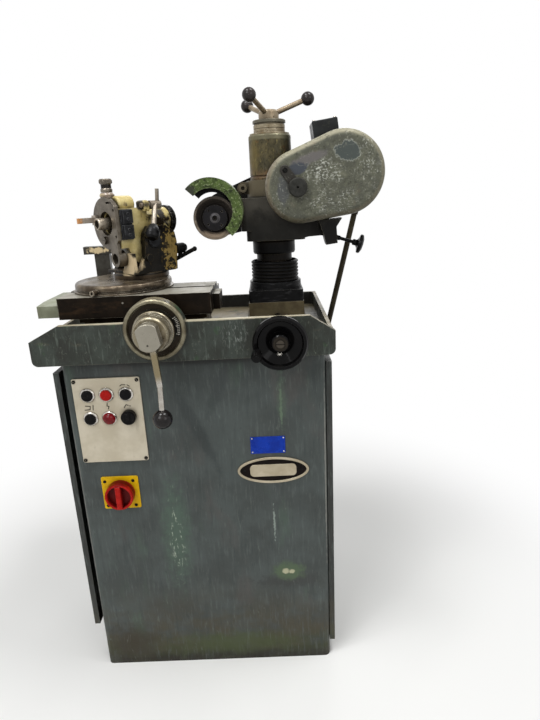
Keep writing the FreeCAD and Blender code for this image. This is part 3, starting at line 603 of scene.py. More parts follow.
wheelBlack = dict(
    name="wheelBlack",
    main=(9, 9, 10),
    second=(14, 13, 13),
    patch=0.03,
    seed=86,
    rough=(0.1, 0.22),
    shine=0.04,
    coat=0.1,
    coatRough=0.06,
    bump=0.03,
    edge=((90, 88, 86), 0.0012, 0.3),
    dirtAndShade=((6, 6, 6), 0.03, 0.8),
)
dress(wheelBlack, "handwheel_grip", "tension_knob")
feedWheel = dict(
    wheelBlack,
    name="feedWheel",
    marks=[
        spot((0.178, -0.297, 0.813), (0.0165, 0.006, 0.0165), (44, 39, 32), ragged=0.3, soft=0.3),
        spot((0.178, -0.2995, 0.813), (0.0083, 0.0033, 0.0083), (72, 66, 58), ragged=0.4, grain=0.004),
    ],
)
dress(feedWheel, "cross_handwheel")
coverKnob = dict(
    wheelBlack,
    name="coverKnob",
    main=(58, 58, 55),
    second=(46, 46, 43),
    patch=0.008,
    rough=(0.4, 0.6),
    coat=0.0,
    bump=0.2,
    edge=((104, 102, 94), 0.0012, 0.6),
)
dress(coverKnob, "cover_knob")

# slides and table: oily iron
oilyIron = dict(
    name="oilyIron",
    main=(32, 25, 18),
    second=(19, 15, 11),
    patch=0.04,
    seed=90,
    metal=0.2,
    shine=0.06,
    rough=(0.26, 0.52),
    bump=0.12,
    faces=[topSide((150, 146, 134), 0.9)],
    edge=((188, 180, 162), 0.0016, 0.75),
    dirtAndShade=((16, 13, 9), 0.03, 0.85),
    streaks=[
        wash((70, 52, 36), 0.02, (0.55, 0.75), wide=3, amount=0.5),
        wash((92, 84, 66), 0.005, (0.62, 0.76), wide=2, amount=0.35, seed=4),
    ],
    marks=[
        spot((-0.107, -0.122, 0.889), (0.2, 0.0062, 0.006), (58, 52, 42), ragged=0.2, soft=0.3),
        spot((-0.130, -0.2, 0.885), (0.0022, 0.004, 0.0022), (132, 128, 118), ragged=0.3, grain=0.004),
    ],
)
dress(oilyIron, "table")
baseIron = dict(oilyIron, name="baseIron", main=(70, 60, 44), second=(44, 36, 26), marks=[], seed=91)
dress(baseIron, "slide_base")

dirtyIron = dict(
    name="dirtyIron",
    main=(94, 85, 62),
    second=(74, 64, 45),
    patch=0.03,
    seed=92,
    metal=0.2,
    rough=(0.4, 0.62),
    bump=0.2,
    edge=((160, 150, 126), 0.0014, 0.6),
    dirtAndShade=((30, 26, 20), 0.04, 0.8),
    streaks=[wash((120, 78, 48), 0.02, (0.58, 0.75), wide=3, tall=0.7, amount=0.5)],
)
dress(dirtyIron, "cross_base")

blackIron = dict(
    name="blackIron",
    main=(16, 16, 16),
    second=(25, 24, 22),
    patch=0.03,
    seed=94,
    metal=0.1,
    shine=0.07,
    rough=(0.24, 0.5),
    bump=0.15,
    edge=((98, 96, 90), 0.0014, 0.5),
    streaks=[wash((74, 73, 70), 0.01, (0.6, 0.78), wide=4, tall=0.8, amount=0.5)],
)
dress(blackIron, "rear_guard", "rear_clamp_lever")
slideIron = dict(
    blackIron,
    name="slideIron",
    main=(32, 32, 33),
    second=(20, 20, 20),
    edge=((108, 106, 102), 0.0016, 0.7),
    streaks=[wash((82, 82, 84), 0.006, (0.55, 0.7), wide=4, tall=0.8, amount=0.6)],
)
dress(slideIron, "cross_slide")
guideIron = dict(
    blackIron, name="guideIron", main=(46, 47, 49), second=(29, 29, 30), patch=0.012,
    edge=((124, 124, 126), 0.0014, 0.8),
)
dress(guideIron, "guide_blocks", "tilt_nut")
pipeIron = dict(blackIron, name="pipeIron", main=(60, 54, 40), second=(42, 37, 28), patch=0.05, seed=95, streaks=[])
dress(pipeIron, "conduit")

endCover = dict(
    name="endCover",
    main=(136, 140, 119),
    second=(113, 115, 95),
    patch=0.03,
    seed=96,
    rough=(0.34, 0.5),
    bump=0.1,
    edge=((208, 206, 190), 0.0014, 0.5),
    dirtAndShade=((70, 62, 42), 0.03, 0.8),
    streaks=[wash((104, 108, 84), 0.012, (0.55, 0.75), tall=3, amount=0.5)],
)
dress(endCover, "table_end_cover")

postIron = dict(
    name="postIron",
    main=(62, 60, 54),
    second=(48, 44, 38),
    patch=0.02,
    seed=98,
    metal=0.4,
    rough=(0.25, 0.48),
    bump=0.12,
    edge=((140, 130, 108), 0.0012, 0.5),
    marks=[spot((-0.25, 0.069, 0.967), (0.031, 0.012, 0.0075), (206, 186, 146), ragged=2.4, soft=0.4, grain=0.006)],
    dirtAndShade=((20, 16, 10), 0.03, 0.9),
)
dress(postIron, "stop_post")
print("slides dressed")


# workhead
discSteel = dict(
    name="discSteel",
    main=(112, 101, 85),
    second=(68, 58, 46),
    patch=0.03,
    seed=110,
    metal=0.7,
    rough=(0.22, 0.42),
    bump=0.05,
    # bright edges: wear and a painted highlight along the rim
    edge=((222, 212, 192), 0.0024, 0.75),
    dirtAndShade=((34, 26, 18), 0.025, 0.9),
    streaks=[
        wash((60, 48, 36), 0.03, (0.56, 0.72), amount=0.5),
        wash((168, 152, 126), 0.006, (0.6, 0.74), tall=0.5, amount=0.4, seed=4),
    ],
    # painted shade on the lower front of the rim
    marks=[spot((-0.08, -0.17, 0.903), (0.07, 0.04, 0.012), (26, 21, 16), ragged=0.8, soft=0.6, amount=0.85)],
)
dress(discSteel, "turntable")

creamPaint = dict(
    name="creamPaint",
    main=(206, 190, 134),
    second=(186, 168, 106),
    patch=0.025,
    seed=112,
    rough=(0.18, 0.38),
    shine=0.4,
    bump=0.12,
    edge=((112, 96, 62), 0.0014, 0.6),
    bands=[
        band(0.995, 0.962, (96, 76, 38), size=0.02, amount=0.7),
        band(0.968, 0.938, (30, 25, 16), size=0.02, amount=0.95),
    ],
    streaks=[
        wash((120, 98, 54), 0.010, (0.57, 0.68), tall=3, amount=0.7, seed=2),
        wash((30, 24, 16), 0.012, (0.61, 0.68), tall=1.6, amount=0.8, seed=5),
    ],
    marks=[
        spot((-0.062, -0.09, 0.985), (0.04, 0.06, 0.05), (26, 21, 14), ragged=2.0, soft=0.4, grain=0.02),
        spot((-0.062, -0.07, 1.04), (0.028, 0.05, 0.03), (34, 27, 17), ragged=2.6, soft=0.4, grain=0.015, seed=5),
        spot((-0.094, -0.089, 1.068), (0.02, 0.02, 0.013), (58, 54, 48), ragged=0.6, soft=0.3),
        spot((-0.164, -0.092, 1.087), (0.018, 0.018, 0.022), (148, 132, 116), ragged=0.4),
    ],
    dirtAndShade=((20, 16, 10), 0.022, 0.95),
)
dress(creamPaint, "work_housing")

pedestalIron = dict(
    name="pedestalIron",
    main=(25, 22, 16),
    second=(15, 13, 10),
    patch=0.014,
    seed=113,
    metal=0.1,
    shine=0.12,
    rough=(0.2, 0.5),
    bump=0.15,
    faces=[topSide((92, 78, 60), 0.6)],
    edge=((120, 106, 80), 0.0014, 0.6),
    streaks=[
        wash((92, 76, 44), 0.012, (0.56, 0.68), tall=2, amount=0.7),
        wash((58, 62, 58), 0.006, (0.6, 0.7), tall=3, amount=0.6, seed=4),
    ],
    marks=[
        spot((-0.129, -0.118, 0.951), (0.034, 0.034, 0.028), (214, 194, 156), ragged=0.4),
        spot(
            (-0.045, -0.066, 0.975), (0.017, 0.03, 0.042), (152, 128, 72),
            ragged=5.5, soft=0.3, grain=0.009, amount=0.9,
        ),
        spot((-0.117, -0.062, 0.922), (0.2, 0.2, 0.006), (88, 74, 57), ragged=0.4, soft=0.4, amount=0.8),
    ],
    scratches=[
        scratch(
            (28, 23, 14), 0.007,
            tall=5, width=0.09, seed=3, amount=0.85,
            within=spot((-0.045, -0.066, 0.975), (0.03, 0.04, 0.055), ragged=0.6, soft=0.4),
        ),
    ],
    dirtAndShade=((12, 10, 7), 0.02, 0.9),
)
dress(pedestalIron, "pedestal")

plateSteel = dict(
    name="plateSteel",
    main=(108, 101, 90),
    second=(84, 77, 67),
    patch=0.02,
    seed=114,
    metal=0.65,
    rough=(0.26, 0.44),
    bump=0.06,
    edge=((190, 182, 168), 0.001, 0.6),
    dirtAndShade=((28, 22, 16), 0.018, 0.9),
    streaks=[wash((78, 66, 48), 0.01, (0.58, 0.72), tall=2, amount=0.6)],
)
dress(plateSteel, "face_plate", "column", "motor_pulley", "counter_shaft")
plungerSteel = dict(
    plateSteel,
    name="plungerSteel",
    main=(122, 114, 102),
    second=(92, 85, 75),
    edge=((214, 206, 190), 0.0014, 0.9),
    marks=[spot((-0.164, -0.092, 1.1083), (1, 1, 0.0044), (32, 28, 24), ragged=0.2)],
)
dress(plungerSteel, "index_plunger")
starSteel = dict(
    plateSteel,
    name="starSteel",
    main=(150, 136, 114),
    second=(120, 104, 84),
    seed=115,
    marks=[spot((0.187, -0.017, 1.2345), (0.0024, 0.004, 0.0024), (18, 15, 12), ragged=0.1)],
)
dress(starSteel, "star_handle")
noseSteel = dict(
    plateSteel,
    name="noseSteel",
    main=(178, 168, 152),
    second=(140, 130, 114),
    rough=(0.14, 0.3),
    marks=[spot((-0.062, -0.007, 1.035), (0.04, 0.04, 0.04), (22, 20, 18), ragged=0.1, soft=0.05)],
)
dress(noseSteel, "work_spindle")
flangeSteel = dict(
    plateSteel,
    name="flangeSteel",
    main=(34, 33, 35),
    second=(24, 23, 24),
    metal=0.2,
    shine=0.1,
    seed=117,
    streaks=[],
    marks=[
        spot((0.058, -0.12, 1.037), (0.0105, 1, 0.0105), (92, 90, 92), ragged=0.1, soft=0.05),
        spot((0.058, -0.12, 1.037), (0.0058, 1, 0.0058), (8, 8, 8), ragged=0.1, soft=0.05),
    ],
)
dress(flangeSteel, "wheel_spindle")
armChrome = dict(
    leverChrome,
    name="armChrome",
    main=(150, 142, 130),
    second=(118, 106, 92),
    metal=0.45,
    rough=(0.3, 0.45),
    marks=[
        spot((-0.0725, -0.1211, 1.0145), (0.0185, 0.0185, 0.0185), (12, 12, 13), ragged=0.0, soft=0.02),
        spot((-0.12, -0.07, 1.068), (0.03, 0.03, 0.0105), (92, 84, 72), ragged=0.3, soft=0.3),
    ],
)
dress(armChrome, "work_lever")
restSteel = dict(
    plateSteel,
    name="restSteel",
    main=(196, 186, 174),
    second=(170, 158, 144),
    metal=0.4,
    marks=[
        spot((-0.228, -0.114, 1.0425), (0.012, 0.02, 0.02), (206, 140, 70), ragged=1.6, grain=0.005, amount=0.85),
    ],
)
dress(restSteel, "lip_rest")
print("workhead dressed")


# column and wheelhead
stainedSteel = dict(
    name="stainedSteel",
    main=(92, 84, 60),
    second=(68, 64, 49),
    patch=0.03,
    seed=130,
    metal=0.35,
    shine=0.1,
    rough=(0.3, 0.5),
    bump=0.08,
    edge=((158, 150, 126), 0.0014, 0.5),
    dirtAndShade=((36, 29, 20), 0.03, 0.8),
    bands=[band(1.136, 1.122, (122, 98, 72), size=0.03, wide=3, amount=0.7)],
    marks=[
        spot((0.176, 0.005, 0.955), (1, 1, 0.025), (8, 8, 8), ragged=0.05, soft=0.05),
        spot((0.176, 0.005, 1.1155), (1, 1, 0.0028), (104, 80, 62), ragged=0.3, soft=0.3, amount=0.6),
        spot((0.176, 0.005, 1.196), (1, 1, 0.008), (112, 108, 88), ragged=0.4, soft=0.4, amount=0.8),
        # painted reflection: lighter olive-yellow on the left of the sleeve
        spot((0.138, -0.03, 1.155), (0.018, 0.05, 0.05), (116, 102, 62), ragged=1.0, soft=0.7, amount=0.6),
        # painted shade: darker on the right of the sleeve
        spot((0.216, -0.012, 1.155), (0.016, 0.05, 0.07), (54, 51, 42), ragged=0.8, soft=0.7, amount=0.8),
    ],
    streaks=[
        wash((96, 95, 82), 0.016, (0.5, 0.66), tall=4, amount=0.5),
        wash((136, 124, 78), 0.006, (0.55, 0.68), tall=2, amount=0.6, seed=3),
        wash((120, 84, 50), 0.012, (0.58, 0.7), amount=0.5, seed=13),
        wash((50, 45, 30), 0.0035, (0.54, 0.63), tall=1.5, amount=0.7, seed=9),
        wash((54, 51, 40), 0.006, (0.53, 0.66), tall=3, amount=0.85, seed=2),
    ],
)
dress(stainedSteel, "column_sleeve")
capSteel = dict(
    stainedSteel,
    name="capSteel",
    main=(148, 138, 117),
    second=(120, 106, 82),
    bands=[],
    marks=[spot((0.176, 0.005, 1.226), (1, 1, 0.0045), (98, 94, 82), ragged=0.2)],
    streaks=[
        wash((186, 178, 158), 0.012, (0.52, 0.7), amount=0.7),
        wash((128, 92, 58), 0.010, (0.58, 0.72), amount=0.6, seed=2),
        wash((92, 72, 48), 0.004, (0.56, 0.66), amount=0.7, seed=5),
    ],
)
dress(capSteel, "sleeve_cap")

headPaint = dict(
    name="headPaint",
    main=(38, 37, 34),
    second=(28, 27, 24),
    patch=0.05,
    seed=132,
    rough=(0.32, 0.52),
    shine=0.1,
    bump=0.25,
    fine=0.004,
    faces=[topSide((96, 89, 74), 0.7)],
    bands=[band(1.008, 1.06, (80, 77, 70), size=0.04, amount=0.85)],
    edge=((126, 120, 104), 0.002, 0.75),
    dirtAndShade=((20, 17, 12), 0.05, 0.9),
    marks=[
        spot((0.166, 0.005, 1.0915), (0.2, 0.2, 0.018), (104, 96, 78), ragged=0.12, soft=0.1, amount=0.9),
        spot((0.298, -0.06, 0.995), (0.03, 0.03, 0.035), (20, 19, 18), ragged=0.2),
    ],
    streaks=[wash((70, 66, 58), 0.02, (0.58, 0.78), tall=2, amount=0.45)],
)
dress(headPaint, "head_casting")

motorPaint = dict(
    name="motorPaint",
    main=(44, 46, 46),
    second=(36, 37, 37),
    patch=0.03,
    seed=134,
    rough=(0.34, 0.52),
    shine=0.1,
    bump=0.15,
    edge=((120, 120, 114), 0.0014, 0.5),
    dirtAndShade=((22, 20, 16), 0.03, 0.8),
    streaks=[wash((70, 70, 60), 0.008, (0.6, 0.74), wide=2, amount=0.5)],
)
# painted shade: the motor's end face black behind the fan grille
fanRecessShade = spot((0.324, 0.132, 1.118), (0.0505, 0.004, 0.0505), (7, 7, 7), ragged=0.0, soft=0.03)
dress(dict(motorPaint, name="motorShell", marks=[fanRecessShade]), "motor_body")

rubbedMiddle = spot((0.279, -0.106, 1.118), (0.05, 0.03, 0.03), ragged=1.8, soft=0.7, grain=0.02, seed=3)
rubbedLow = spot((0.296, -0.106, 1.058), (0.08, 0.03, 0.034), ragged=2.0, soft=0.8, grain=0.02, seed=6)
rubbedLeft = spot((0.193, -0.106, 1.068), (0.026, 0.03, 0.05), ragged=1.8, soft=0.7, grain=0.02, seed=8)
rubbedRight = spot((0.373, -0.106, 1.135), (0.036, 0.03, 0.075), ragged=1.8, soft=0.8, grain=0.02, seed=10)
rubbedTop = spot((0.3305, -0.106, 1.1545), (0.0275, 0.03, 0.021), grain=0.014, seed=12)
paleScuff = (190, 192, 182)
coverMetal = dict(
    name="coverMetal",
    main=(92, 93, 79),
    second=(79, 80, 70),
    patch=0.03,
    seed=136,
    metal=0.1,
    shine=0.2,
    rough=(0.38, 0.56),
    bump=0.12,
    faces=[
        side(1, -0.99, -0.84, (126, 121, 101), 0.75),
        # painted highlight on upward faces
        side(2, 0.2, 0.75, (158, 154, 132), 0.6),
        # painted shade on downward faces
        side(2, -0.1, -0.6, (64, 58, 46), 0.65),
        side(0, -0.3, -0.8, (122, 108, 94), 0.6),
    ],
    dirtAndShade=((44, 38, 28), 0.02, 0.7),
    streaks=[
        wash((116, 116, 98), 0.016, (0.52, 0.72), amount=0.5, seed=3),
        wash((54, 55, 45), 0.007, (0.53, 0.66), amount=0.65, seed=7),
        wash((136, 136, 120), 0.003, (0.56, 0.68), amount=0.45, seed=5),
        wash((110, 90, 74), 0.03, (0.6, 0.74), amount=0.35, seed=11),
        wash(paleScuff, 0.0055, (0.5, 0.64), tall=0.8, amount=0.95, seed=9, within=rubbedMiddle),
        wash(paleScuff, 0.004, (0.54, 0.68), amount=0.85, seed=12, within=rubbedLow),
        wash(paleScuff, 0.0035, (0.54, 0.68), tall=1.6, amount=0.8, seed=14, within=rubbedRight),
    ],
    marks=[
        spot(
            (0.252, -0.106, 1.143), (0.05, 0.02, 0.013), (104, 100, 100),
            turn=(0, -0.3, 0), ragged=0.9, soft=0.5, amount=0.8,
        ),
        spot((0.227, -0.106, 1.124), (0.025, 0.02, 0.014), (66, 70, 76), turn=(0, -0.3, 0), ragged=1.0, soft=0.3),
        spot((0.2, -0.106, 1.084), (0.018, 0.02, 0.036), (78, 80, 82), soft=0.5, amount=0.8),
        dict(rubbedTop, colour=(176, 180, 170), amount=0.85),
        dict(rubbedTop, reach=(0.0258, 0.03, 0.0193), colour=(70, 76, 73), soft=0.12),
        spot((0.228, -0.1146, 1.1), (1, 0.0083, 1), (48, 46, 42), ragged=0.0, soft=0.02),
    ],
    scratches=[
        scratch(paleScuff, 0.006, wide=5, turn=(0, 0.5, 0), width=0.03, seed=2, amount=0.8, within=rubbedMiddle),
        scratch(paleScuff, 0.005, tall=6, turn=(0, 0.4, 0), width=0.03, seed=5, amount=0.7, within=rubbedLeft),
        scratch(paleScuff, 0.006, wide=6, turn=(0, -0.7, 0), width=0.03, seed=8, amount=0.7, within=rubbedLow),
        scratch(paleScuff, 0.007, width=0.02, seed=15, amount=0.6, within=rubbedRight),
        scratch((164, 164, 150), 0.012, wide=4, turn=(0, -0.35, 0), width=0.014, seed=18, amount=0.5),
        scratch((150, 150, 134), 0.009, tall=5, turn=(0, 0.3, 0), width=0.014, seed=25, amount=0.45),
    ],
)
dress(coverMetal, "belt_cover")

guardGreen = dict(
    name="guardGreen",
    main=(82, 99, 52),
    second=(60, 73, 39),
    patch=0.013,
    seed=138,
    rough=(0.36, 0.52),
    shine=0.12,
    bump=0.12,
    edge=((150, 148, 128), 0.0016, 0.7),
    inside=((0.051, -0.115, 1.051), (10, 10, 9)),
    dirtAndShade=((16, 16, 13), 0.02, 0.9),
    streaks=[
        wash((34, 40, 24), 0.006, (0.53, 0.62), amount=0.9, seed=2),
        wash((142, 154, 112), 0.004, (0.53, 0.64), amount=0.75, seed=6),
        wash((18, 20, 14), 0.0045, (0.62, 0.69), amount=0.9, seed=8),
    ],
    marks=[
        spot((0.010, -0.13, 1.089), (0.018, 0.06, 0.018), (54, 57, 46), soft=0.5),
        spot((0.051, -0.0965, 1.051), (0.0618, 0.03, 0.0618), (10, 10, 9), ragged=0.0, soft=0.02),
    ],
)
dress(guardGreen, "wheel_guard")

gritGrey = dict(
    name="gritGrey",
    main=(132, 120, 106),
    second=(102, 92, 80),
    patch=0.01,
    seed=140,
    shine=0.15,
    rough=(0.6, 0.85),
    bump=0.7,
    fine=0.0012,
    round=0.0004,
    dirtAndShade=((24, 21, 19), 0.012, 0.9),
    marks=[
        # dirt and painted shade: the cup's inside dark
        spot((0.058, -0.12, 1.037), (0.0385, 1, 0.0385), (28, 25, 23), ragged=0.1, soft=0.06, grain=0.006),
        # painted light where light from above falls on the lower inner wall
        spot((0.054, -0.13, 1.005), (0.034, 0.016, 0.0125), (118, 104, 88), ragged=0.5, soft=0.5, grain=0.008),
        # painted shade: the innermost part darker still
        spot((0.058, -0.12, 1.037), (0.031, 1, 0.031), (16, 15, 14), ragged=0.1, soft=0.1, grain=0.006),
        # painted shadow of the guard over the wheel's upper part
        spot((0.06, -0.13, 1.066), (0.07, 1, 0.052), (50, 45, 40), ragged=0.4, soft=0.5, amount=0.9),
    ],
)
dress(gritGrey, "grinding_wheel")

bandRubber = dict(
    name="bandRubber",
    main=(14, 14, 14),
    second=(20, 19, 19),
    patch=0.02,
    seed=142,
    shine=0.07,
    rough=(0.36, 0.58),
    bump=0.1,
    dirtAndShade=((70, 64, 54), 0.006, 0.3),
)
dress(bandRubber, "front_belt", "rear_belt")

gearGrey = dict(
    name="gearGrey",
    main=(120, 120, 116),
    second=(104, 104, 100),
    patch=0.03,
    seed=144,
    rough=(0.4, 0.55),
    bump=0.06,
    dirtAndShade=((50, 48, 44), 0.02, 0.7),
    bands=[band(0.53, 0.545, (38, 38, 40), size=0.5)],
)
dress(gearGrey, "switchgear")
print("wheelhead dressed")

# modelling helpers

def startPiece():
    if bpy.context.object and bpy.context.object.mode != "OBJECT":
        bpy.ops.object.mode_set(mode="OBJECT")
    bpy.ops.object.select_all(action="DESELECT")


def pickOnly(piece):
    startPiece()
    piece.select_set(True)
    bpy.context.view_layer.objects.active = piece


def settle(piece):   # place, turn and size go into the mesh
    pickOnly(piece)
    bpy.ops.object.transform_apply(location=True, rotation=True, scale=True)


def applyModifiers(piece):
    pickOnly(piece)
    for modifier in [m.name for m in piece.modifiers]:
        bpy.ops.object.modifier_apply(modifier=modifier)


def editAll():
    bpy.ops.object.mode_set(mode="EDIT")
    bpy.ops.mesh.select_all(action="SELECT")


def editDone():
    bpy.ops.object.mode_set(mode="OBJECT")


def smoothBelow(angle):
    bpy.ops.object.shade_smooth_by_angle(angle=math.radians(angle))


def moveDepth(way):   # what is selected, along Y
    bpy.ops.transform.translate(value=(0, way, 0))


def drawOut(value):   # a new skin is drawn out from what is selected
    bpy.ops.mesh.extrude_region_move(TRANSFORM_OT_translate={"value": value})


def normalsOut():
    bpy.ops.mesh.select_all(action="SELECT")
    bpy.ops.mesh.normals_make_consistent(inside=False)


def thicken(rise):   # a flat face becomes a slab towards the front
    editAll()
    drawOut((0, -rise, 0))
    normalsOut()


def roundEdges(offset, segments):
    bpy.ops.mesh.bevel(offset=offset, segments=segments, affect="EDGES")


def startChoice(kind):
    bpy.ops.object.mode_set(mode="EDIT")
    bpy.ops.mesh.select_mode(type=kind)
    bpy.ops.mesh.select_all(action="DESELECT")
    bpy.ops.object.mode_set(mode="OBJECT")


def chooseFaces(piece, test):
    startChoice("FACE")
    for face in piece.data.polygons:
        face.select = test(face)
    bpy.ops.object.mode_set(mode="EDIT")


def chooseEdges(piece, test):
    startChoice("EDGE")
    points = piece.data.vertices
    for edge in piece.data.edges:
        edge.select = test(points[edge.vertices[0]].co, points[edge.vertices[1]].co)
    bpy.ops.object.mode_set(mode="EDIT")


squareOn = 0.9   # a face looks to the front or back past this
nearly = 1e-5   # metres
brokenEdge = 0.2   # share of a bar's least side


def looksFront(face):
    return face.normal.y < -squareOn


def looksBack(face):
    return face.normal.y > squareOn


def alongDepth(a, b):
    return abs(a.x - b.x) + abs(a.z - b.z) < nearly


def cube(size, at, turn=noTurn):
    startPiece()
    bpy.ops.mesh.primitive_cube_add(size=1, location=at, rotation=turn)
    piece = bpy.context.object
    piece.scale = size
    settle(piece)
    return piece


def sheetAt(size, at, corner, segments):   # a flat cube with round corners, left in edit mode
    piece = cube(size, at)
    chooseEdges(piece, alongDepth)
    roundEdges(corner, segments)
    return piece


def block(size, at, mat, turn=noTurn):   # a bar with broken edges
    bar = cube(size, at, turn)
    editAll()
    roundEdges(min(size) * brokenEdge, 2)
    editDone()
    bar.data.materials.append(mat)
    return bar


def disc(radius, at, sides=96):   # a flat face that looks to the front
    startPiece()
    bpy.ops.mesh.primitive_circle_add(
        vertices=sides, radius=radius, fill_type="NGON", location=at, rotation=(math.pi / 2, 0, 0)
    )
    return bpy.context.object


def hoop(outer, inner, thick, at, mat, sides=96):   # a flat ring
    ring = disc(outer, at, sides)
    settle(ring)
    chooseFaces(ring, lambda face: True)
    bpy.ops.mesh.inset(thickness=outer - inner)
    bpy.ops.mesh.delete(type="FACE")
    thicken(thick)
    editDone()
    ring.data.materials.append(mat)
    return ring


def dome(radius, rise, mat):   # a rivet's head at the origin, looking to the front
    startPiece()
    bpy.ops.mesh.primitive_uv_sphere_add(segments=24, ring_count=16, radius=radius, rotation=(math.pi / 2, 0, 0))
    head = bpy.context.object
    settle(head)
    editAll()
    bpy.ops.mesh.bisect(plane_co=(0, 0, 0), plane_no=(0, 1, 0), use_fill=True, clear_outer=True)
    bpy.ops.mesh.select_all(action="SELECT")
    bpy.ops.transform.resize(value=(1, rise / radius, 1), center_override=(0, 0, 0))
    editDone()
    smoothBelow(50)
    head.data.materials.append(mat)
    return head


# shares of a screw head's radius and rise
screwForm = dict(sides=40, front=0.9, roundOff=0.4, slotLong=2.4, slotWide=0.3, slotDeep=0.8)


def screw(radius, rise, mat, form=screwForm):   # a slotted head at the origin, looking to the front
    head = disc(radius, (0, 0, 0), form["sides"])
    settle(head)
    thicken(rise)
    chooseEdges(head, lambda a, b: max(a.y, b.y) < -rise * form["front"])
    roundEdges(rise * form["roundOff"], 3)
    editDone()
    bladeSize = (radius * form["slotLong"], rise * form["slotDeep"], radius * form["slotWide"])
    blade = cube(bladeSize, (0, -rise, 0))
    cut = head.modifiers.new("slot", "BOOLEAN")
    cut.operation = "DIFFERENCE"
    cut.object = blade
    applyModifiers(head)
    bpy.data.objects.remove(blade)
    smoothBelow(40)
    head.data.materials.append(mat)
    return head


def copiesAt(first, spots):   # one copy for each (place, turn), each with its own mesh
    copies = []
    for at, turn in spots:
        twin = first.copy()
        twin.data = first.data.copy()
        bpy.context.scene.collection.objects.link(twin)
        twin.location = at
        twin.rotation_euler = turn
        settle(twin)
        copies.append(twin)
    bpy.data.objects.remove(first)
    return copies


def joined(name, parts, body):
    startPiece()
    for part in parts:
        part.select_set(True)
    bpy.context.view_layer.objects.active = parts[0]
    if len(parts) > 1:
        bpy.ops.object.join()
    whole = bpy.context.object
    whole.name = name
    settle(whole)
    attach(whole, body)
    return whole


# column bellows: one rubber tube, drawn up ring by ring
bellowsForm = dict(
    low=0.888,
    high=0.9339,
    ribs=6,
    crest=0.0538,
    root=0.0506,
    steps=(0.3, 0.4, 0.3),   # way out, crest and way back, as shares of a rib's height
    wall=0.003,
    fold=0.0011,   # rounding of the folds
    foldSegments=3,
    sides=96,
)


def makeBellows(form):
    low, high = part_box("bellows")
    middle = (low + high) / 2
    foot = (middle.x, middle.y, form["low"])
    pitch = (form["high"] - form["low"]) / form["ribs"]
    startPiece()
    bpy.ops.mesh.primitive_circle_add(vertices=form["sides"], radius=form["root"], location=foot)
    boot = bpy.context.object
    boot.name = "bellowsBoot"
    editAll()
    grow = form["crest"] / form["root"]
    for rib in range(form["ribs"]):
        for rise, spread in zip(form["steps"], (grow, 1.0, 1 / grow)):
            drawOut((0, 0, rise * pitch))
            bpy.ops.transform.resize(value=(spread, spread, 1), center_override=foot)
    normalsOut()
    editDone()
    skin = boot.modifiers.new("wall", "SOLIDIFY")
    skin.thickness = form["wall"]
    skin.offset = -1
    soft = boot.modifiers.new("folds", "BEVEL")
    soft.width = form["fold"]
    soft.segments = form["foldSegments"]
    applyModifiers(boot)
    settle(boot)
    smoothBelow(40)
    boot.data.materials.append(aged(dict(bandRubber, name="bootRubber", rough=(0.28, 0.5), seed=150)))
    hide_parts("bellows")
    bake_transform(boot)


makeBellows(bellowsForm)
print("bellows made")


# finishes of the small fittings
fitSteel = aged(dict(bezelChrome, name="fitSteel", seed=160))
fitBlack = aged(dict(
    blackIron,
    name="fitBlack",
    seed=162,
    patch=0.004,
    edge=((110, 106, 98), 0.0005, 0.6),
    fine=0.001,
    round=0.0003,
    streaks=[],
))
fitWhite = aged(dict(
    panelPlate,
    name="fitWhite",
    main=(222, 218, 206),
    second=(204, 198, 182),
    metal=0.0,
    seed=164,
))
toFront = noTurn   # how a fitting is turned
toBack = (0, 0, math.pi)


# the enamelled plate and the oval badge, both blank
bluePlate = dict(
    at=(0.144, -0.2105, 0.5685),
    size=(0.074, 0.0011, 0.039),
    corner=0.002,
    cornerSegments=5,
    border=0.0016,
    slope=0.0004,   # from the border down to the sunk field
    sunk=0.00035,
    rivet=(0.0017, 0.0009),
    rivetIn=0.0036,   # rivet to the plate's edge
)
blueEnamel = aged(dict(
    name="blueEnamel",
    main=(20, 58, 168),
    second=(17, 48, 146),
    patch=0.02,
    seed=166,
    rough=(0.24, 0.4),
    shine=0.1,
    bump=0.04,
    edge=((120, 140, 196), 0.0006, 0.6),
    streaks=[wash((52, 82, 176), 0.01, (0.56, 0.7), wide=6, amount=0.5)],
))


def makeBluePlate(form):
    plate = sheetAt(form["size"], form["at"], form["corner"], form["cornerSegments"])
    chooseFaces(plate, looksFront)
    bpy.ops.mesh.inset(thickness=form["border"])
    bpy.ops.mesh.inset(thickness=form["slope"])
    moveDepth(form["sunk"])
    editDone()
    plate.data.materials.append(blueEnamel)
    x, y, z = form["at"]
    wide, thick, tall = (length / 2 for length in form["size"])
    inset = form["rivetIn"]
    spots = []
    for across in (-1, 1):
        for up in (-1, 1):
            spots.append(((x + across * (wide - inset), y - thick, z + up * (tall - inset)), toFront))
    rivets = copiesAt(dome(*form["rivet"], fitSteel), spots)
    plate = joined("bluePlate", [plate] + rivets, "frame")
    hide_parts("front_plates")


ovalBadge = dict(
    at=(0.153, -0.21, 0.509),
    reach=(0.077, 0.031),
    deep=0.003,
    rim=0.0052,
    rimRound=0.0007,
    sunk=0.0017,
    tablet=(0.1, 0.0016, 0.028),
    tabletCorner=0.009,
    tabletSegments=8,
    tabletEdge=(0.0007, 0.0004),   # width and rise of its sloping edge
    rivet=(0.0024, 0.0012),
    rivetOut=0.0625,
)
badgeMetal = aged(dict(
    panelPlate,
    name="badgeMetal",
    main=(192, 181, 158),
    second=(170, 158, 134),
    metal=0.4,
    seed=168,
    edge=((226, 218, 198), 0.0008, 0.7),
    dirtAndShade=((50, 42, 32), 0.004, 0.8),
))
badgeBlack = aged(dict(
    blackIron,
    name="badgeBlack",
    main=(24, 17, 15),
    second=(16, 13, 12),
    seed=170,
    streaks=[],
))


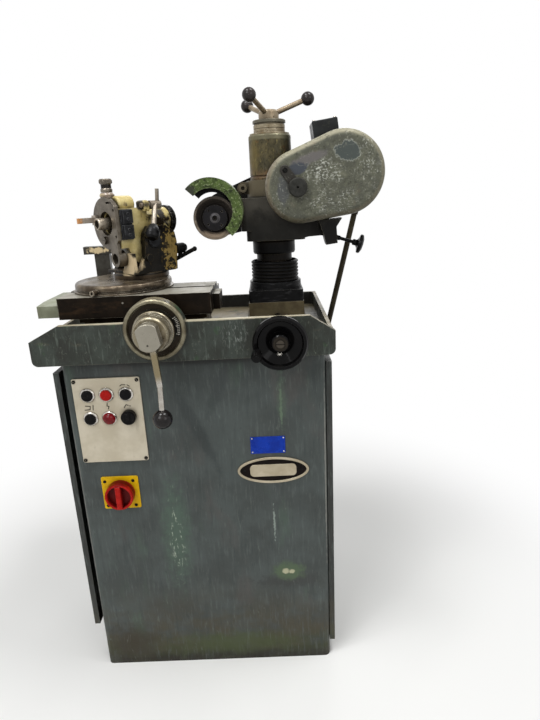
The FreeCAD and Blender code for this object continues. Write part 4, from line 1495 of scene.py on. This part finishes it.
def makeOvalBadge(form):
    x, y, z = form["at"]
    badge = disc(1, form["at"])
    badge.scale = (*form["reach"], 1)
    settle(badge)
    badge.data.materials.append(badgeMetal)
    badge.data.materials.append(badgeBlack)
    thicken(form["deep"])
    chooseFaces(badge, looksFront)
    bpy.ops.mesh.inset(thickness=form["rim"])
    drawOut((0, form["sunk"], 0))
    badge.active_material_index = 1
    bpy.ops.object.material_slot_assign()
    front = y - form["deep"]

    def onRim(a, b):
        return max(a.y, b.y) < front + nearly and (a - b).length < form["rim"]

    chooseEdges(badge, onRim)
    roundEdges(form["rimRound"], 3)
    editDone()
    smoothBelow(40)
    floor = front + form["sunk"]
    tabletAt = (x, floor - form["tablet"][1] / 2, z)
    tablet = sheetAt(form["tablet"], tabletAt, form["tabletCorner"], form["tabletSegments"])
    chooseFaces(tablet, looksFront)
    width, rise = form["tabletEdge"]
    bpy.ops.mesh.inset(thickness=width)
    moveDepth(-rise)
    editDone()
    tablet.data.materials.append(badgeMetal)
    spots = [((x + across * form["rivetOut"], floor, z), toFront) for across in (-1, 1)]
    rivets = copiesAt(dome(*form["rivet"], fitBlack), spots)
    badge = joined("ovalBadge", [badge, tablet] + rivets, "frame")
    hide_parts("front_plates")


makeBluePlate(bluePlate)
makeOvalBadge(ovalBadge)
print("front plates made")


# screws: head is (radius, rise, finish), spots are (place, turn)
lidTurn = (-math.pi / 2, math.radians(-7.5), 0)   # the motor's terminal box leans
screwSets = [
    dict(
        name="panelScrews",
        body="frame",
        slot="black_paint",
        head=(0.0037, 0.0026, fitBlack),
        spots=[((x, -0.213, z), (0, lean, 0)) for x, z, lean in (
            (-0.247, 0.7285, 0.4), (-0.1175, 0.7285, 1.1), (-0.247, 0.5515, 2.0), (-0.1175, 0.5515, 0.2)
        )],
    ),
    dict(
        name="switchScrews",
        body="frame",
        slot="black_paint",
        head=(0.0034, 0.0012, fitBlack),
        spots=[((x, -0.212, z), (0, lean, 0)) for x, z, lean in (
            (-0.214, 0.4977, 0.8), (-0.1526, 0.498, 1.4), (-0.152, 0.438, 0.3), (-0.2135, 0.4385, 2.2)
        )],
    ),
    dict(
        name="strapScrew",
        body="wheelhead",
        slot="black_paint",
        head=(0.0052, 0.0022, fitBlack),
        spots=[((0.2033, -0.11, 1.123), (0, 0.7, 0))],
    ),
    dict(
        name="beltGuardScrews",
        body="wheelhead",
        slot="bright_steel",
        head=(0.005, 0.0026, fitSteel),
        spots=[((x, 0.174, z), toBack) for x, z in (
            (0.270, 1.142), (0.292, 1.060), (0.0436, 1.0765), (0.031, 1.0048), (0.150, 1.018)
        )],
    ),
    dict(
        name="terminalScrews",
        body="wheelhead",
        slot="bright_steel",
        head=(0.0032, 0.002, fitSteel),
        spots=[((x, y, z), lidTurn) for x, z in ((0.2692, 1.2197), (0.3129, 1.2255)) for y in (-0.035, 0.025)],
    ),
]
for group in screwSets:
    heads = copiesAt(screw(*group["head"]), group["spots"])
    joined(group["name"], heads, group["body"])
print("screws set")


# marks printed between the push-buttons
panelMarks = dict(
    face=-0.213,
    thick=0.0002,
    wide=0.0017,
    paths=[
        [(-0.1842, 0.6790), (-0.1853, 0.6736), (-0.1812, 0.6725), (-0.1831, 0.6668)],
        [(-0.2299, 0.6752), (-0.2202, 0.6743), (-0.2213, 0.6669), (-0.2319, 0.6663)],
        [(-0.2140, 0.6760), (-0.2152, 0.6660)],
        [(-0.1530, 0.7162), (-0.1500, 0.7186), (-0.1425, 0.7184)],
        [(-0.1383, 0.7180), (-0.1340, 0.7150)],
        [(-0.1499, 0.6686), (-0.1456, 0.6748), (-0.1415, 0.6732)],
        [(-0.1385, 0.6718), (-0.1370, 0.6716)],
    ],
)


def makePanelMarks(form):
    strokes = []
    for path in form["paths"]:
        for (x0, z0), (x1, z1) in zip(path, path[1:]):
            size = (math.hypot(x1 - x0, z1 - z0) + form["wide"], form["thick"], form["wide"])
            at = ((x0 + x1) / 2, form["face"] - form["thick"] / 2, (z0 + z1) / 2)
            strokes.append(block(size, at, fitBlack, (0, -math.atan2(z1 - z0, x1 - x0), 0)))
    joined("panelMarks", strokes, "frame")


makePanelMarks(panelMarks)


# index plate beside the traverse hub
indexPlate = dict(
    centre=(-0.062, -0.246, 0.838),
    outer=0.0500,
    inner=0.0422,
    thick=0.0014,
    sides=160,
    start=-16,   # degrees from level
    end=34,
    margin=4,   # degrees from an end to the first tick
    ticks=11,
    longEvery=5,
    tick=(0.0052, 0.0005, 0.0009),
    longTick=(0.0074, 0.0005, 0.0012),
    tickIn=0.0006,   # tick to the outer edge
)


def makeIndexPlate(form):
    x, y, z = form["centre"]
    plate = hoop(form["outer"], form["inner"], form["thick"], form["centre"], fitBlack, form["sides"])
    bpy.ops.object.mode_set(mode="EDIT")
    for angle, inner in ((form["start"], True), (form["end"], False)):
        way = math.radians(angle)
        bpy.ops.mesh.select_all(action="SELECT")
        bpy.ops.mesh.bisect(
            plane_co=form["centre"],
            plane_no=(-math.sin(way), 0, math.cos(way)),
            use_fill=True,
            clear_inner=inner,
            clear_outer=not inner,
        )
    editDone()
    parts = [plate]
    step = (form["end"] - form["start"] - 2 * form["margin"]) / (form["ticks"] - 1)
    for i in range(form["ticks"]):
        size = form["longTick"] if i % form["longEvery"] == 0 else form["tick"]
        way = math.radians(form["start"] + form["margin"] + i * step)
        r = form["outer"] - form["tickIn"] - size[0] / 2
        at = (x + r * math.cos(way), y - form["thick"], z + r * math.sin(way))
        parts.append(block(size, at, fitWhite, (0, -way, 0)))
    joined("indexPlate", parts, "frame")


makeIndexPlate(indexPlate)


# the handwheel's ball oiler
oiler = dict(
    at=(0.176, -0.2815, 0.7905),
    collar=(0.0048, 0.003),
    collarSides=40,
    chamfer=0.2,   # share of the collar's radius and rise
    ball=(0.0036, 0.0030),
    ballOut=1.1,   # share of the collar's rise
)


def makeOiler(form):
    x, y, z = form["at"]
    radius, rise = form["collar"]
    collar = disc(radius, form["at"], form["collarSides"])
    settle(collar)
    thicken(rise)
    chooseFaces(collar, looksFront)
    bpy.ops.mesh.inset(thickness=radius * form["chamfer"])
    moveDepth(-rise * form["chamfer"])
    editDone()
    smoothBelow(35)
    collar.data.materials.append(fitSteel)
    ball = copiesAt(dome(*form["ball"], fitSteel), [((x, y - rise * form["ballOut"], z), toFront)])
    joined("ballOiler", [collar] + ball, "handwheel")


makeOiler(oiler)


# knurl round the index plunger's knob
knurl = dict(
    axis=(-0.16414, -0.09217),
    low=1.1145,
    high=1.1205,
    radius=0.0126,
    ridge=1.05,   # how far every second edge stands out
    ridgeHeight=0.94,
    sides=96,
)
knurlSteel = aged(dict(plungerSteel, name="knurlSteel", edge=((170, 162, 148), 0.0005, 0.9), round=0.0002))


def makeKnurl(form):
    x, y = form["axis"]
    middle = (form["low"] + form["high"]) / 2
    tall = form["high"] - form["low"]
    startPiece()
    bpy.ops.mesh.primitive_cylinder_add(
        vertices=form["sides"], radius=form["radius"], depth=tall, location=(x, y, middle)
    )
    grip = bpy.context.object
    settle(grip)

    def onRidge(a, b):
        turn = math.atan2(a.y - y, a.x - x) / math.tau * form["sides"]
        return abs(a.z - b.z) > tall / 2 and round(turn) % 2 == 0

    chooseEdges(grip, onRidge)
    spread = (form["ridge"], form["ridge"], form["ridgeHeight"])
    bpy.ops.transform.resize(value=spread, center_override=(x, y, middle))
    editDone()
    grip.data.materials.append(knurlSteel)
    joined("plungerKnurl", [grip], "plunger")


makeKnurl(knurl)


# fan grille behind the motor
fanGrille = dict(
    centre=(0.324, 0.132, 1.118),
    rings=(0.016, 0.027, 0.038, 0.049),
    wire=0.0017,
    spokes=6,
    spoke=(0.051, 0.00272, 0.0034),
)
grilleWire = aged(dict(motorPaint, name="grilleWire", seed=172))


def makeFanGrille(form):
    x, y, z = form["centre"]
    parts = []
    for r in form["rings"]:
        startPiece()
        bpy.ops.mesh.primitive_torus_add(
            major_radius=r,
            minor_radius=form["wire"],
            major_segments=72,
            minor_segments=10,
            location=(x, y + form["wire"], z),
            rotation=(math.pi / 2, 0, 0),
        )
        ring = bpy.context.object
        settle(ring)
        smoothBelow(60)
        ring.data.materials.append(grilleWire)
        parts.append(ring)
    half, deep = form["spoke"][0] / 2, form["spoke"][1] / 2
    for i in range(form["spokes"]):
        way = math.tau * i / form["spokes"]
        at = (x + half * math.cos(way), y + deep, z + half * math.sin(way))
        parts.append(block(form["spoke"], at, grilleWire, (0, -way, 0)))
    joined("fanGrille", parts, "wheelhead")


makeFanGrille(fanGrille)
print("fittings made")


# louvred cover on the cabinet's back
backCover = dict(
    middle=(0.0, 0.4),
    size=(0.38, 0.56),
    face=0.21,
    thick=0.0025,
    corner=0.008,
    cornerSegments=6,
    edge=(0.0012, 0.0006),   # width and rise of its sloping edge
    louvre=(0.11, 0.006, 0.013),
    louvreSlope=0.95,   # how far its top edge is laid back
    louvreRound=0.002,
    columns=(-0.075, 0.075),
    rows=7,
    pitch=0.026,
    top=0.6,
    head=(0.0048, 0.0026),
    headIn=0.014,   # screw to the cover's edge
)
plainPaint = dict(cabinetPaint, marks=[], scratches=[])
backPaint = aged(dict(plainPaint, name="backPaint", seed=174))
# painted shade: the louvres' downward faces black, as the shaded openings under them
louvreUndersideShade = side(2, -0.5, -0.9, (6, 6, 6), 1.0)
louvrePaintAndShade = aged(dict(plainPaint, name="louvrePaintAndShade", seed=176, faces=[louvreUndersideShade]))


def makeLouvre(form):
    deep = form["louvre"][1]
    slat = cube(form["louvre"], (0, deep / 2, 0))
    near = 0.001   # past this an edge is an outer one
    chooseEdges(slat, lambda a, b: min(a.y, b.y) > near and min(a.z, b.z) > near)   # outer edge on top
    moveDepth(-deep * form["louvreSlope"])
    chooseEdges(slat, lambda a, b: max(a.z, b.z) < 0.0 and min(a.y, b.y) > near)   # outer edge below
    roundEdges(form["louvreRound"], 4)
    editDone()
    slat.data.materials.append(louvrePaintAndShade)
    return slat


def makeBackCover(form):
    x, z = form["middle"]
    wide, tall = form["size"]
    thick = form["thick"]
    sheetMiddle = (x, form["face"] + thick / 2, z)
    sheet = sheetAt((wide, thick, tall), sheetMiddle, form["corner"], form["cornerSegments"])
    chooseFaces(sheet, looksBack)
    width, rise = form["edge"]
    bpy.ops.mesh.inset(thickness=width)
    moveDepth(rise)
    editDone()
    sheet.data.materials.append(backPaint)
    skin = form["face"] + thick
    slatSpots = []
    for column in form["columns"]:
        for row in range(form["rows"]):
            slatSpots.append(((x + column, skin, form["top"] - row * form["pitch"]), noTurn))
    slats = copiesAt(makeLouvre(form), slatSpots)
    headSpots = []
    for across in (-1, 1):
        for up in (-1, 0, 1):
            at = (x + across * (wide / 2 - form["headIn"]), skin, z + up * (tall / 2 - form["headIn"]))
            headSpots.append((at, toBack))
    heads = copiesAt(screw(*form["head"], fitSteel), headSpots)
    joined("backCover", [sheet] + slats + heads, "frame")


makeBackCover(backCover)
print("back cover made")


# stage: pale floor, soft light
stageLight = dict(
    floor=(244, 244, 242),
    floorRough=0.9,
    floorSize=60,
    clear=(0.55, 1.3),   # metres from the middle where the floor turns plain white
    ambient=0.26,
    lamps=[
        dict(name="keyLamp", at=(-1.3, -2.4, 2.7), aim=(0, 0, 0.8), size=1.5, power=34),
        dict(name="fillLamp", at=(2.0, -2.2, 1.9), aim=(0, 0, 0.8), size=1.4, power=13),
        dict(name="leftCeiling", at=(-0.6, -0.7, 3.0), aim=(0, 0, 0.9), size=0.7, power=29),
        dict(name="rightCeiling", at=(0.9, -0.3, 3.0), aim=(0, 0, 0.9), size=0.7, power=25),
        dict(name="backLamp", at=(0.4, 2.6, 2.2), aim=(0, 0, 0.9), size=1.8, power=18),
    ],
)
pureWhite = (1, 1, 1, 1)


def straightRays(tree):   # 1 for what the camera, gloss and glass see
    rays = addNode(tree, "LightPath")
    seen = sums(tree, "MAXIMUM", rays.outputs["Is Camera Ray"], rays.outputs["Is Glossy Ray"])
    return sums(tree, "MAXIMUM", seen, rays.outputs["Is Transmission Ray"])


def layFloor(look):
    startPiece()
    bpy.ops.mesh.primitive_plane_add(size=look["floorSize"])
    floor = bpy.context.object
    floor.name = "stageFloor"
    mat = bpy.data.materials.new("stagePaper")
    mat.use_nodes = True
    tree = mat.node_tree
    paper = tree.nodes["Principled BSDF"]
    paper.inputs["Base Color"].default_value = tint(look["floor"])
    paper.inputs["Roughness"].default_value = look["floorRough"]
    away = vectors(tree, "LENGTH", place(tree))["Value"]
    plain = addNode(tree, "Emission", None, {"Color": pureWhite, "Strength": 1.0})
    seen = sums(tree, "MULTIPLY", straightRays(tree), stepUp(tree, away, *look["clear"]))
    both = addNode(tree, "MixShader", None, {0: seen, 1: paper.outputs[0], 2: plain.outputs[0]})
    tree.links.new(both.outputs[0], tree.nodes["Material Output"].inputs["Surface"])
    floor.data.materials.append(mat)


def setWorld(ambient):
    world = bpy.data.worlds.new("studio")
    bpy.context.scene.world = world
    world.use_nodes = True
    tree = world.node_tree
    tree.nodes.clear()
    soft = addNode(tree, "Background", None, {"Color": pureWhite, "Strength": ambient})
    white = addNode(tree, "Background", None, {"Color": pureWhite, "Strength": 1.0})
    both = addNode(tree, "MixShader", None, {0: straightRays(tree), 1: soft.outputs[0], 2: white.outputs[0]})
    addNode(tree, "OutputWorld", None, {"Surface": both.outputs[0]})


def hangLamp(lamp):
    light = bpy.data.lights.new(lamp["name"], "AREA")
    light.size = lamp["size"]
    light.energy = lamp["power"]
    holder = bpy.data.objects.new(lamp["name"], light)
    bpy.context.scene.collection.objects.link(holder)
    holder.location = lamp["at"]
    holder.rotation_euler = (Vector(lamp["aim"]) - Vector(lamp["at"])).to_track_quat("-Z", "Y").to_euler()


layFloor(stageLight)
setWorld(stageLight["ambient"])
for lamp in stageLight["lamps"]:
    hangLamp(lamp)
print("stage lit")
